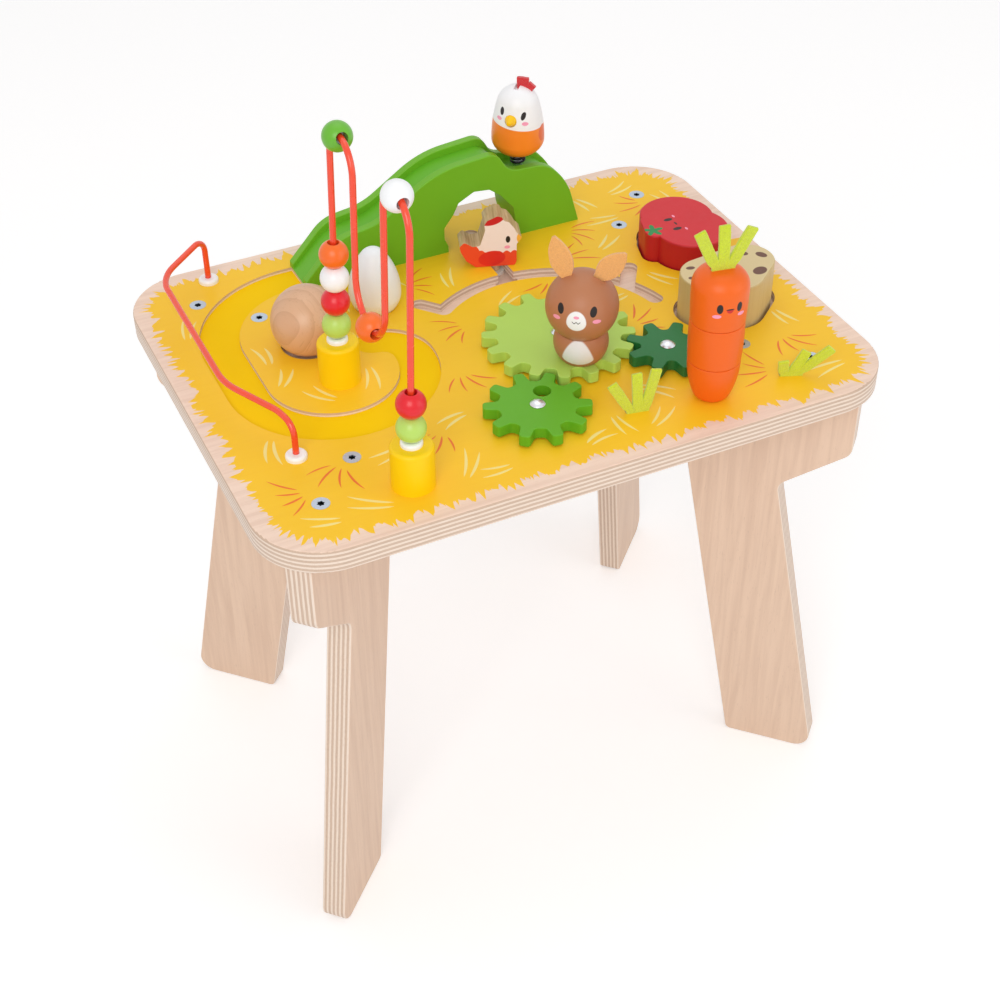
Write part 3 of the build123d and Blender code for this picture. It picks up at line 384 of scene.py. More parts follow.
def metal(name, colour, rough, painted_shade_level=None):
    """Plated steel with fine turning marks, painted near black below a level: painted shade in recesses such
    as screw sockets.
    """
    g = Graph(name)
    mark = g.noise(1.4, 2.0)
    base = g.mix(mark, shade(colour, 0.9), shade(colour, 1.06))
    if painted_shade_level is not None:
        # painted shade: near black below the level, standing for the shade in the screw sockets
        base = g.mix(g.step(g.z, painted_shade_level, painted_shade_level + 0.5), shade(colour, 0.06), base)
    rough = rough_range(g, g.noise(0.9, 3.0), rough - 0.06, rough + 0.1)
    return g.finish(base, rough, mark, 0.05, 0.05, Metallic=1.0)


def coated(name, colour, rough=0.22):
    """Smooth plastic or powder coat: faint mottling and a clear gloss."""
    g = Graph(name)
    tone = g.noise(0.12, 3.0)
    base = g.mix(tone, shade(colour, 0.94), shade(colour, 1.05))
    return g.finish(base, rough_range(g, tone, rough - 0.05, rough + 0.07), g.noise(0.8, 2.0), 0.06, 0.1,
                    Coat_Weight=0.4, Coat_Roughness=0.12)


# Painted faces and marks on the figures

BLACK = rgb(34, 28, 28)
PINK = rgb(248, 160, 190)
WHITE = rgb(246, 247, 250)


def facing(g, node, degrees):
    """Across and forward distances for a figure that looks towards a direction."""
    fx, fy = math.cos(math.radians(degrees)), math.sin(math.radians(degrees))
    x, y = middle(node)[:2]
    dx, dy = g.less(g.x, x), g.less(g.y, y)
    across = g.less(g.times(dy, fx), g.times(dx, fy))
    ahead = g.add(g.times(dx, fx), g.times(dy, fy))
    return across, ahead


def pear(g, u, v, centre, half, up, down):
    """An ellipse with a taller part above its middle and a shorter part below, as a mask."""
    above = g.math("GREATER_THAN", v, centre[1])
    high, low = g.blot(u, v, centre, (half, up)), g.blot(u, v, centre, (half, down))
    return g.add(g.times(high, above), g.times(low, g.invert(above)))


def marks(g, base, u, v, front, spots):
    """Ellipses of paint laid over a base: (centre, half sizes, turn, colour)."""
    for centre, half, turn, colour in spots:
        base = g.mix(g.times(g.blot(u, v, centre, half, turn), front), base, colour)
    return base


# The way each figure looks, in degrees. Heights of the painted marks count from the table top.
RABBIT_FACING, CARROT_FACING, HEN_FACING = -127.0, -100.0, -134.0


def rabbit_head_marks(g, base):
    """A white muzzle, eyes, cheeks, nose and a curved mouth."""
    u, ahead = facing(g, "rabbit_head", RABBIT_FACING)
    v = g.less(g.z, TOP)
    front = g.math("GREATER_THAN", ahead, 0.0)
    muzzle = g.times(pear(g, u, v, (0.0, 45.6), 5.8, 7.2, 5.3), front)
    base = g.mix(muzzle, base, WHITE)
    base = marks(g, base, u, v, front, [
        ((-9.7, 52.4), (1.9, 3.0), 0.0, BLACK), ((9.5, 52.2), (1.9, 3.0), 0.0, BLACK),
        ((-12.0, 46.5), (2.3, 1.3), 10.0, PINK), ((11.6, 46.2), (2.3, 1.3), -10.0, PINK),
        ((0.0, 49.2), (1.7, 0.9), 0.0, PINK)])
    bow = g.math("ABSOLUTE", g.less(g.math("ABSOLUTE", u), 1.2))
    line = g.math("ABSOLUTE", g.less(v, g.add(45.3, g.times(bow, 0.9))))
    near = g.math("LESS_THAN", g.math("ABSOLUTE", u), 2.5)
    mouth = g.times(g.times(g.invert(g.step(line, 0.2, 0.36)), near), front)
    return g.mix(mouth, base, BLACK)


def rabbit_belly(g, base):
    """A pale belly that narrows upwards."""
    u, ahead = facing(g, "rabbit_head", RABBIT_FACING)
    v = g.less(g.z, TOP)
    front = g.math("GREATER_THAN", ahead, 0.0)
    taper = g.less(1.0, g.times(g.math("MAXIMUM", g.less(v, 15.8), 0.0), 0.0165))
    patch = pear(g, g.math("DIVIDE", g.less(u, 0.4), taper), v, (0.0, 15.8), 9.3, 13.0, 4.2)
    return g.mix(g.times(patch, front), base, rgb(238, 234, 236))


def carrot_face(g, base):
    """Eyes, cheeks and a small open mouth."""
    u, ahead = facing(g, "carrot_tip", CARROT_FACING)
    v = g.less(g.z, TOP)
    front = g.math("GREATER_THAN", ahead, 0.0)
    base = marks(g, base, u, v, front, [
        ((-5.8, 71.0), (1.7, 3.1), 0.0, BLACK), ((5.8, 71.0), (1.7, 3.1), 0.0, BLACK),
        ((-7.1, 65.9), (2.3, 1.2), 6.0, PINK), ((7.3, 65.9), (2.3, 1.2), -6.0, PINK)])
    lip = g.times(g.blot(u, v, (0.0, 70.2), (2.1, 2.3)), g.math("LESS_THAN", v, 70.2))
    base = g.mix(g.times(lip, front), base, rgb(206, 44, 40))
    line = g.times(g.blot(u, v, (0.0, 70.4), (2.4, 0.45)), front)
    return g.mix(line, base, BLACK)


def hen_coat(g, base):
    """White above a slanting edge, orange below it, with a darker wing on each side."""
    u, ahead = facing(g, "hen_body", HEN_FACING)
    v = g.less(g.z, TOP)
    front = g.math("GREATER_THAN", ahead, 0.0)
    border = g.less(77.0, g.times(u, 0.12))
    low = g.invert(g.step(g.less(v, border), -0.2, 0.2))
    base = g.mix(low, base, g.mix(g.noise(0.05, 2.0), rgb(246, 128, 26), rgb(250, 142, 38)))
    side = g.math("GREATER_THAN", g.math("ABSOLUTE", u), 6.0)
    base = marks(g, base, ahead, v, side, [((0.6, 70.4), (5.4, 5.6), 0.0, rgb(232, 104, 26))])
    return marks(g, base, u, v, front, [
        ((-6.4, 87.6), (1.4, 2.6), -4.0, BLACK), ((7.8, 85.8), (1.4, 2.6), -10.0, BLACK),
        ((-8.3, 82.6), (1.9, 1.2), 4.0, PINK), ((9.1, 80.8), (1.9, 1.2), -14.0, PINK)])


TOMATO_FACE_SHIFT = (-3.9, -0.35)


def tomato_marks(g, base):
    """A face and a five-pointed calyx, both on the flat top."""
    x, y = (place + shift for place, shift in zip(middle("tomato_piece"), TOMATO_FACE_SHIFT))
    u, v = g.less(y, g.y), g.less(x, g.x)
    top = looking(g, g.nz)
    base = g.mix(top, rgb(188, 26, 34), base)
    base = marks(g, base, u, v, top, [
        ((-6.2, 2.4), (1.7, 3.1), 0.0, BLACK), ((6.2, 2.4), (1.7, 3.1), 0.0, BLACK),
        ((-8.6, -3.0), (1.6, 0.8), 0.0, PINK), ((8.6, -3.0), (1.6, 0.8), 0.0, PINK),
        ((0.0, 0.2), (1.9, 0.7), 0.0, BLACK)])
    du, dv = g.less(u, 1.5), g.less(v, 18.0)
    angle = g.math("ARCTAN2", dv, du)
    star = g.add(5.0, g.times(g.math("COSINE", g.times(g.add(angle, 0.35), 5.0)), 2.2))
    leaf = g.invert(g.step(g.less(g.vector("LENGTH", g.join(du, dv, 0.0)), star), -0.2, 0.2))
    return g.mix(g.times(leaf, top), base, rgb(38, 140, 74))


def potato_marks(g, base):
    """Brown eyes on the flat top, and a plainer cut side."""
    top = looking(g, g.nz)
    grain = g.noise(0.35, 3.0, g.stretch(1.0, 1.0, 0.04), 0.5)
    side = g.mix(g.step(grain, 0.3, 0.8), rgb(208, 185, 132), rgb(202, 177, 124))
    base = g.mix(top, side, base)
    brown = rgb(112, 78, 64)
    x, y = middle("potato_piece")[:2]
    return marks(g, base, g.less(g.x, x), g.less(g.y, y), top, [
        ((-22.5, 11.7), (2.9, 1.8), -10.0, brown), ((15.7, 12.4), (3.6, 2.4), -40.0, brown),
        ((25.6, 5.9), (3.9, 2.7), -60.0, brown), ((14.9, -9.6), (5.2, 3.8), 20.0, brown),
        ((-28.1, 1.5), (1.6, 1.5), 0.0, brown), ((-4.9, -13.0), (4.2, 2.6), 15.0, brown),
        ((-4.9, 8.0), (2.0, 1.4), 0.0, brown)])


BLOCK_TURN = math.radians(-18.6)


def block_print(g, base):
    """A printed hen on the block's two faces, with the bare cut wood between them."""
    c, s = math.cos(BLOCK_TURN), math.sin(BLOCK_TURN)
    x, y = middle("hen_block_peg")[:2]
    dx, dy = g.less(g.x, x), g.less(g.y, y)
    u, v = g.add(g.times(dx, c), g.times(dy, s)), g.less(g.z, TOP)
    deep = g.less(g.times(dy, c), g.times(dx, s))
    grain = g.noise(0.5, 5.0, g.join(u, g.times(deep, 0.06), v), 0.65, 0.5)
    side = g.mix(g.step(grain, 0.3, 0.72), rgb(222, 190, 152), rgb(178, 140, 102))
    face = looking(g, g.math("ABSOLUTE", g.vector("DOT_PRODUCT", g.normal, (s, -c, 0.0))))
    coat = g.mix(g.noise(0.08, 2.0), rgb(250, 236, 234), rgb(246, 228, 226))
    orange = rgb(240, 78, 42)
    puff = g.times(g.math("ABSOLUTE", g.math("SINE", g.times(u, 0.62))), 1.7)
    edge = g.add(9.8, puff, g.times(g.math("MAXIMUM", g.less(-7.0, u), 0.0), 0.9))
    coat = g.mix(g.invert(g.step(g.less(v, edge), -0.22, 0.22)), coat, orange)
    coat = g.mix(g.math("LESS_THAN", u, -13.0), coat, orange)
    return g.mix(face, side, marks(g, coat, u, v, 1.0, [
        ((-2.1, 6.3), (8.9, 5.6), 6.0, rgb(226, 44, 34)), ((-1.2, 35.4), (8.0, 4.2), 18.0, rgb(206, 30, 40)),
        ((8.5, 19.8), (1.5, 2.5), 0.0, BLACK), ((8.0, 14.1), (1.9, 1.2), 0.0, PINK),
        ((17.2, 20.2), (3.0, 4.2), 0.0, rgb(246, 182, 66))]))


def bead_paint(name, colour):
    """Glossy even paint for a bead."""
    return painted(name, colour, 0.3, None, GRAIN_NONE, 0.25, 0.02)


LEGS = ("leg_front_left", "leg_front_right", "leg_rear_left", "leg_rear_right")
HILL = painted("hill_paint", rgb(112, 182, 36), 0.42, None, GRAIN_ALONG)
STEEL = metal("zinc_steel", rgb(196, 204, 212), 0.34)
# Below this level the screws' steel is painted near black: painted shade in their sockets
SCREW_RECESS = TOP - 1.2
SCREW = metal("screw_steel", rgb(184, 196, 210), 0.34, SCREW_RECESS)
RABBIT_BROWN = rgb(184, 122, 86)
CARROT_ORANGE = rgb(242, 104, 22)
BARE = turned_wood("bare_beech", rgb(228, 198, 158), rgb(196, 158, 116), (0.0, 0.0, TOP), (0.1, 0.2, 1.0))
ORANGE_BEAD = bead_paint("bead_orange_paint", rgb(246, 112, 34))
RED_BEAD = bead_paint("bead_red_paint", rgb(228, 28, 42))
LIME_BEAD = bead_paint("bead_lime_paint", rgb(186, 222, 104))
GREEN_BEAD = bead_paint("bead_green_paint", rgb(104, 182, 48))
WHITE_BEAD = bead_paint("bead_white_paint", rgb(246, 248, 252))
POST = painted("post_paint", rgb(255, 210, 0), 0.4)
FERRULE = coated("ferrule_plastic", rgb(246, 246, 246), 0.3)
WIRE = coated("wire_coat", rgb(242, 70, 36), 0.25)
LIME_FELT = felted("lime_felt", rgb(208, 226, 22))
EAR_FELT = felted("ear_felt", rgb(252, 182, 106))
RED_FELT = felted("red_felt", rgb(220, 28, 40))
CARROT_PLAIN = painted("carrot_paint", CARROT_ORANGE, 0.4)

finishes = {
    "top_panel": printed_top(), "base_panel": base_board(),
    "track_floor": painted("track_paint", TRACK_YELLOW, 0.6, None, GRAIN_NONE, 0.0, 0.03, 0.1),
    **{node: leg_ply(node) for node in LEGS}, "leg_screws": SCREW,
    **dict.fromkeys(("leg_sleeves", "hill_screws", "post_screws", "spring_stud"), STEEL),
    "hill_front_panel": HILL, "hill_rear_panel": HILL,
    "hill_core": painted("slide_paint", rgb(102, 180, 36), 0.42, None, GRAIN_ALONG),
    "hen_spring": metal("black_steel", rgb(46, 46, 50), 0.4),
    **dict.fromkeys(("hen_plug", "hen_block_peg", "rabbit_dowel", "carrot_peg"), BARE),
    "hen_body": painted("hen_paint", WHITE, 0.36, hen_coat, coat=0.15, fleck=0.02),
    "hen_beak": painted("beak_paint", rgb(255, 200, 0), 0.36),
    "hen_block": painted("block_paint", WHITE, 0.45, block_print),
    "hen_block_guide": coated("guide_plastic", rgb(240, 240, 236), 0.4),
    "gear_washers": coated("washer_plastic", rgb(238, 238, 232), 0.4),
    "large_gear": painted("gear_light_paint", rgb(182, 218, 98), 0.45, None, GRAIN_ALONG),
    "medium_gear": painted("gear_mid_paint", rgb(98, 174, 30), 0.45, None, GRAIN_ALONG),
    "small_gear": painted("gear_dark_paint", rgb(34, 114, 56), 0.45, None, GRAIN_ALONG),
    "gear_pins": metal("pin_silver", rgb(222, 224, 230), 0.3),
    "rabbit_body": painted("rabbit_body_paint", RABBIT_BROWN, 0.44, rabbit_belly),
    "rabbit_head": painted("rabbit_head_paint", RABBIT_BROWN, 0.44, rabbit_head_marks),
    "tomato_piece": painted("tomato_paint", rgb(212, 40, 50), 0.48, tomato_marks),
    "potato_piece": painted("potato_paint", rgb(222, 202, 154), 0.5, potato_marks),
    "carrot_tip": CARROT_PLAIN, "carrot_middle": CARROT_PLAIN,
    "carrot_top": painted("carrot_face_paint", CARROT_ORANGE, 0.4, carrot_face),
    "wooden_ball": turned_wood("ball_beech", rgb(218, 174, 138), rgb(184, 136, 98),
                               middle("wooden_ball"), (0.5, -0.35, 0.8)),
    "egg": painted("egg_paint", rgb(246, 249, 255), 0.3, coat=0.2, fleck=0.02),
    "post_left": POST, "post_right": POST, "post_ferrules": FERRULE, "low_wire_ferrules": FERRULE,
    "tall_wire": WIRE, "low_wire": WIRE,
    "bead_left_lime": LIME_BEAD, "bead_left_red": RED_BEAD, "bead_left_white": WHITE_BEAD,
    "bead_left_orange": ORANGE_BEAD, "bead_loop_green": GREEN_BEAD, "bead_dip_orange": ORANGE_BEAD,
    "bead_loop_white": WHITE_BEAD, "bead_right_lime": LIME_BEAD, "bead_right_red": RED_BEAD,
}
for node, material in finishes.items():
    mesh = nodes[node].data
    mesh.materials.clear()
    mesh.materials.append(material)


# Felt pieces: flat sheets cut in strips, thickened and bent

def piece(name, mesh, material, body, slot, *stands_for):
    """A dressed piece that rides on a body, in place of the named nodes; the slot argument is not used."""
    thing = bpy.data.objects.new(name, mesh)
    bpy.context.scene.collection.objects.link(thing)
    mesh.materials.append(material)
    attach(thing, body)
    if stands_for:
        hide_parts(*stands_for)
    return thing


COLUMNS = 4
PILE = (0.16, 0.12, 0.16)


def sheet_mesh(name, strips, frame_matrix, thickness, seed):
    """Strips of left and right points, from the root up, as one felt sheet with a little pile."""
    bm = bmesh.new()
    shares = [count / COLUMNS for count in range(COLUMNS + 1)]
    for strip in strips:
        rows = []
        for left, right in strip:
            rows.append([bm.verts.new(Vector(left).lerp(Vector(right), share)) for share in shares])
        for low, high in zip(rows, rows[1:]):
            for count in range(COLUMNS):
                bm.faces.new((low[count], low[count + 1], high[count + 1], high[count]))
    bmesh.ops.remove_doubles(bm, verts=bm.verts, dist=0.05)
    bmesh.ops.recalc_face_normals(bm, faces=bm.faces)
    bmesh.ops.solidify(bm, geom=list(bm.faces), thickness=thickness)
    bmesh.ops.recalc_face_normals(bm, faces=bm.faces)
    bmesh.ops.subdivide_edges(bm, edges=bm.edges, cuts=1, use_grid_fill=True)
    draw = random.Random(seed)
    for vert in bm.verts:
        vert.co += Vector([draw.uniform(-reach, reach) for reach in PILE])
    bmesh.ops.transform(bm, matrix=Matrix.Scale(MM, 4) @ frame_matrix, verts=bm.verts)
    for face in bm.faces:
        face.smooth = True
    mesh = bpy.data.meshes.new(name)
    bm.to_mesh(mesh)
    bm.free()
    return mesh


def soften(thing):
    """Round a felt sheet's cut edges."""
    smooth = thing.modifiers.new("soft", "SUBSURF")
    smooth.levels = smooth.render_levels = 2
    return thing


def stand(foot, degrees):
    """A frame that stands on a place and looks towards a direction: x across, y into the piece, z up."""
    return Matrix.Translation(foot) @ Matrix.Rotation(math.radians(degrees + 90), 4, "Z")


def blade(root_left, root_right, lean, length, width, curl, rows=7):
    """A strip that grows from a root edge, leaning sideways and curling towards the back."""
    strip = [(root_left, root_right)]
    base = (Vector(root_left) + Vector(root_right)) / 2
    lean = math.radians(lean)
    growth = Vector((math.sin(lean), 0, math.cos(lean))) * length
    for count in range(1, rows + 1):
        share = count / rows
        angle = lean * min(1.0, 1.35 * share ** 0.6)
        spine = base + growth * share
        spine.y += curl * share * share
        side = Vector((math.cos(angle), 0, -math.sin(angle))) * width / 2
        strip.append((spine - side, spine + side))
    return strip


def foot_rows(left, right, heights):
    """The straight foot of a strip, as left and right points at each height."""
    return [((left, 0, height), (right, 0, height)) for height in heights]


FELT, COMB_FELT = 2.4, 3.0
TUFT_WIDTH, TUFT_ROOT, TUFT_NECK = 14.0, 3.6, 1.5


def leaf_strips(blades):
    """A root block split in as many columns as there are blades: (lean, length, width, curl)."""
    strips = []
    step = TUFT_WIDTH / len(blades)
    for count, (lean, length, width, curl) in enumerate(blades):
        left, right = -TUFT_WIDTH / 2 + count * step, -TUFT_WIDTH / 2 + (count + 1) * step
        foot = foot_rows(left, right, (-TUFT_ROOT, -TUFT_ROOT / 3, TUFT_NECK))
        strips.append(foot + blade(*foot[-1], lean, length, width, curl)[1:])
    return strips


# The felt tufts: name, body, the node replaced, foot, facing in degrees, seed and blades
carrot_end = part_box("carrot_top")[1].z / MM
tufts = [
    ("carrot_leaf_felt", "carrot_high", "carrot_leaves",
     (*middle("carrot_tip")[:2], carrot_end), CARROT_FACING, 3,
     [(-25.0, 27.0, 7.0, -1.0), (-1.0, 25.5, 6.8, 1.5), (24.0, 26.0, 7.0, -1.5)]),
    ("front_grass_felt", "table", "front_tuft", (*middle("front_tuft")[:2], TOP), -100.0, 4,
     [(-30.0, 24.0, 6.4, -0.5), (-3.0, 25.0, 6.4, 1.0), (11.0, 28.0, 6.6, -1.0)]),
    ("right_grass_felt", "table", "right_tuft", (*middle("right_tuft")[:2], TOP), -112.0, 5,
     [(-6.0, 9.5, 6.6, -1.0), (29.0, 17.0, 6.4, 1.0), (45.0, 25.5, 6.4, -1.5)]),
]
for name, body, node, foot, degrees, seed, blades in tufts:
    mesh = sheet_mesh(name, leaf_strips(blades), stand(foot, degrees), FELT, seed)
    soften(piece(name, mesh, LIME_FELT, body, "lime_felt", node))


EAR_WIDTH, EAR_ROOT, EAR_FOLD = 14.0, 3.6, 0.06
# Shares of an ear's length, each with the share of its width there
EAR_PROFILE = [(0.0, 0.5), (0.14, 0.8), (0.32, 1.0), (0.5, 0.98), (0.68, 0.82), (0.84, 0.54), (0.95, 0.26),
               (1.0, 0.1)]


def ear_strip(length):
    """A pointed ear: narrow at its root, widest below the middle, leaning back a little."""
    strip = []
    for z, wide in [(-EAR_ROOT, 0.42)] + [(share * length, wide) for share, wide in EAR_PROFILE]:
        half = wide * EAR_WIDTH / 2
        strip.append(((-half, EAR_FOLD * z, z), (half, EAR_FOLD * z, z)))
    return [strip]


EAR_ACROSS = 9.5
head_low, head_high = (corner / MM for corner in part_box("rabbit_head"))
head_radius = (head_high.x - head_low.x) / 2
ear_height = head_high.z - head_radius + math.sqrt(head_radius ** 2 - EAR_ACROSS ** 2)
head_frame = stand((*middle("rabbit_head")[:2], 0), RABBIT_FACING)
for side, name, lean, length in ((-1, "left", -19.0, 25.5), (1, "right", 42.0, 22.0)):
    spot = head_frame @ Matrix.Translation((side * EAR_ACROSS, 0, ear_height))
    spot = spot @ Matrix.Rotation(math.radians(lean), 4, "Y")
    mesh = sheet_mesh("ear_felt_" + name, ear_strip(length), spot, FELT, 7 + side)
    soften(piece("ear_felt_" + name, mesh, EAR_FELT, "rabbit_gear", "ear_felt", "rabbit_ear_" + name))

# The comb's lobes: left, right, foot and neck heights, lean, length and width
COMB_LOBES = ((-0.8, 6.8, -3.0, 0.4, 0.0, 4.8, 8.0), (5.2, 9.4, -5.5, -1.8, 38.0, 3.6, 5.2))
COMB_TURN = math.radians(-40.0)


def comb_strips():
    """A broad upright lobe and a small one that leans off beside it, lower on the egg."""
    strips = []
    for left, right, low, neck, lean, length, width in COMB_LOBES:
        foot = foot_rows(left, right, (low, neck))
        strips.append(foot + blade(*foot[-1], lean, length, width, 0.0, 4)[1:])
    return strips


hen_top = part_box("hen_body")[1].z / MM
comb_frame = Matrix.Translation((*middle("hen_body")[:2], hen_top)) @ Matrix.Rotation(COMB_TURN, 4, "Z")
comb_mesh = sheet_mesh("comb_felt", comb_strips(), comb_frame, COMB_FELT, 11)
soften(piece("comb_felt", comb_mesh, RED_FELT, "spring_hen", "red_felt", "hen_comb"))


# Printed straws and grass marks on the top, as thin ink on the sheet

def arc(x, y, radius, angles):
    """Places along an arc, one for each angle in degrees."""
    turns = [math.radians(angle) for angle in angles]
    return [(x + radius * math.cos(turn), y + radius * math.sin(turn)) for turn in turns]


def straight(start, direction, steps):
    """Places along a straight line, one for each step from its start."""
    return [(start[0] + direction[0] * step, start[1] + direction[1] * step) for step in steps]


# Arcs of the ball track and the hen block's slot (centre and radius), and where their straight parts start
TRACK_START, TRACK_BEND, TRACK_SIDE = (-90.0, 112.5), (-96.0, 46.5, 66.0), (-162.0, 46.0)
TRACK_LOOP, TRACK_END = (-109.0, 2.5, 53.0), (-76.5, 2.5, 20.5)
SLOT_BEND, SLOT_BRANCH = (28.0, -27.45, 79.5), (33.0, 52.0)
RIGHT_FORK, LEFT_FORK = ((97.5, 11.0), (0.55, 0.84)), ((-21.0, 35.0), (-0.64, 0.77))


def track_line():
    """Places along the middle of the ball track."""
    points = straight(TRACK_START, (-1, 0), range(0, 7, 3)) + arc(*TRACK_BEND, range(90, 181, 6))
    points += straight(TRACK_SIDE, (0, -1), range(0, 45, 5)) + arc(*TRACK_LOOP, range(180, 361, 6))
    return points + arc(*TRACK_END, range(0, 86, 10))


def slot_line():
    """Places along the middle of the hen block's slot: its bend, its straight branch and its forks."""
    points = arc(*SLOT_BEND, range(12, 129, 4)) + straight(SLOT_BRANCH, (0, 1), range(0, 62, 5))
    return points + straight(*RIGHT_FORK, range(0, 22, 4)) + straight(*LEFT_FORK, range(0, 18, 4))


# Rounds that the ink stays out of: (x, y, radius)
TRACK_ROOM, SLOT_ROOM, SCREW_ROOM, HILL_ROOM, FERRULE_ROOM = 17.0, 9.5, 8.0, 13.0, 9.0
ROOM = {
    "large_gear": 51.0, "medium_gear": 36.0, "small_gear": 29.0, "wooden_ball": 21.0, "egg": 17.0,
    "carrot_tip": 20.0, "front_tuft": 11.0, "right_tuft": 11.0, "post_left": 16.0, "post_right": 16.0,
    "hen_block_peg": 26.0,
}
keep_out = [(x, y, TRACK_ROOM) for x, y in track_line()] + [(x, y, SLOT_ROOM) for x, y in slot_line()]
keep_out += [(*middle(node)[:2], room) for node, room in ROOM.items()]

# The puzzles' lobes, as shifts from the middle of the piece
LOBES = {
    "tomato_piece": [(3.1, -0.35, 36.0)],
    "potato_piece": [(-14.9, 2.2, 23.0), (-0.4, -4.2, 24.0), (15.6, 6.2, 22.0)],
}
for node, lobes in LOBES.items():
    x, y = middle(node)[:2]
    keep_out += [(x + dx, y + dy, room) for dx, dy, room in lobes]

# The low wire's feet, at two opposite corners of their ferrules' box
FERRULE_RADIUS = 6.4
feet_low, feet_high = (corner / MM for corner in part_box("low_wire_ferrules"))
keep_out += [(feet_high.x - FERRULE_RADIUS, feet_high.y - FERRULE_RADIUS, FERRULE_ROOM),
             (feet_low.x + FERRULE_RADIUS, feet_low.y + FERRULE_RADIUS, FERRULE_ROOM)]

# The leg screws on the corner diagonals
SCREW_INSETS = (58.0, 101.0)
keep_out += [(sx * (HALF_LENGTH - inset * ROOT_HALF), sy * (HALF_DEPTH - inset * ROOT_HALF), SCREW_ROOM)
             for inset in SCREW_INSETS for sx in (-1, 1) for sy in (-1, 1)]

# The hill, as two rows of rounds
HILL_STEP, HILL_INSET = 8, 7.0
hill_low, hill_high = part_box("hill_front_panel")[0] / MM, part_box("hill_rear_panel")[1] / MM
hill_places = range(round(hill_low.x) + HILL_STEP // 2, round(hill_high.x) - HILL_STEP // 2, HILL_STEP)
hill_rows = (hill_low.y + HILL_INSET, hill_high.y - HILL_INSET)
keep_out += [(x, y, HILL_ROOM) for x in hill_places for y in hill_rows]

# The inked field: its half sizes, where its corners' arcs are centred, and their radius
INK_FIELD, INK_CORNER, INK_ROUND = (180, 130), (158, 108), 23


def free(x, y):
    """Whether a place lies in the inked field and outside every round of keep_out."""
    over_x, over_y = abs(x) - INK_CORNER[0], abs(y) - INK_CORNER[1]
    if abs(x) > INK_FIELD[0] or abs(y) > INK_FIELD[1]:
        return False
    if over_x > 0 and over_y > 0 and math.hypot(over_x, over_y) > INK_ROUND:
        return False
    return all((x - a) ** 2 + (y - b) ** 2 > r * r for a, b, r in keep_out)


STROKE_TIP = 0.06


def stroke(start, angle, length, bend, width, steps=9):
    """A tapered, bent stroke as left, right and middle points."""
    left, right, spine = [], [], []
    x, y = start
    for count in range(steps + 1):
        share = count / steps
        swell = math.sin(math.pi * min(0.08 + 0.92 * share, 1.0)) ** 0.7
        half = width / 2 * swell if 0 < count < steps else STROKE_TIP
        heading = math.radians(angle + bend * share)
        nx, ny = -math.sin(heading), math.cos(heading)
        left.append((x + nx * half, y + ny * half))
        right.append((x - nx * half, y - ny * half))
        spine.append((x, y))
        x += math.cos(heading) * length / steps
        y += math.sin(heading) * length / steps
    return left, right, spine


ATTEMPTS = 6000
FOOT_REACH = (178, 128)
MEMBER_STEP = 3.4
INK_SPACE = 3.2
taken, inked = [], []


def sprigs(draw, wanted, members, fan, lengths, width, gap):
    """Groups of strokes that spread from one foot, spaced apart on the free parts of the print."""
    groups, feet = [], []
    for attempt in range(ATTEMPTS):
        if len(groups) == wanted:
            break
        foot = tuple(draw.uniform(-reach, reach) for reach in FOOT_REACH)
        if not free(*foot) or any(math.hypot(foot[0] - a, foot[1] - b) < gap for a, b in feet + taken):
            continue
        heading, bend = draw.uniform(0, 360), draw.choice((-1, 1)) * draw.uniform(14, 34)
        group = []
        count = draw.choice(members)
        for number in range(count):
            place = number - (count - 1) / 2
            turn, shift = heading + fan * place, MEMBER_STEP * place
            along = math.radians(heading)
            start = (foot[0] - shift * math.sin(along), foot[1] + shift * math.cos(along))
            group.append(stroke(start, turn, draw.uniform(*lengths), bend, width * draw.uniform(0.85, 1.15)))
        points = [point for line in group for point in line[2]]
        apart = all(math.dist(a, b) > INK_SPACE for a in points for b in inked)
        if apart and all(free(*point) for point in points):
            groups.append(group)
            feet.append(foot)
            inked.extend(points)
    taken.extend(feet)
    return [line for group in groups for line in group]


# Heights of the ink's under and upper faces from the table top
INK_LOW, INK_HIGHS = -0.04, (0.03, 0.05, 0.07, 0.09)


def ink_mesh(name, lines):
    """Each stroke as a thin closed slab that stands a little proud of the sheet."""
    bm = bmesh.new()
    for number, line in enumerate(lines):
        left, right = line[:2]
        ink_high = INK_HIGHS[number % len(INK_HIGHS)]
        loop = right + left[::-1]
        low = [bm.verts.new((x * MM, y * MM, (TOP + INK_LOW) * MM)) for x, y in loop]
        high = [bm.verts.new((x * MM, y * MM, (TOP + ink_high) * MM)) for x, y in loop]
        count, half = len(loop), len(right)
        for a in range(count):
            b = (a + 1) % count
            bm.faces.new((low[a], low[b], high[b], high[a]))
        for a in range(half - 1):
            c, d = count - 1 - a, count - 2 - a
            bm.faces.new((high[a], high[a + 1], high[d], high[c]))
            bm.faces.new((low[c], low[d], low[a + 1], low[a]))
    mesh = bpy.data.meshes.new(name)
    bm.to_mesh(mesh)
    bm.free()
    return mesh


picker = random.Random(41)
orange_lines = sprigs(picker, 14, (4, 4), 30.0, (13.0, 20.0), 1.3, 30.0)
pale_lines = sprigs(picker, 40, (2, 2, 2), 13.0, (17.0, 27.0), 1.9, 20.0)
ORANGE_INK = painted("orange_ink", rgb(236, 116, 44), 0.44)
STRAW_INK = painted("straw_ink", rgb(246, 228, 142), 0.44)
piece("print_grass", ink_mesh("print_grass", orange_lines), ORANGE_INK, "table", "printed_sheet")
piece("print_straw", ink_mesh("print_straw", pale_lines), STRAW_INK, "table", "printed_sheet")


# Stage: floor, light and camera

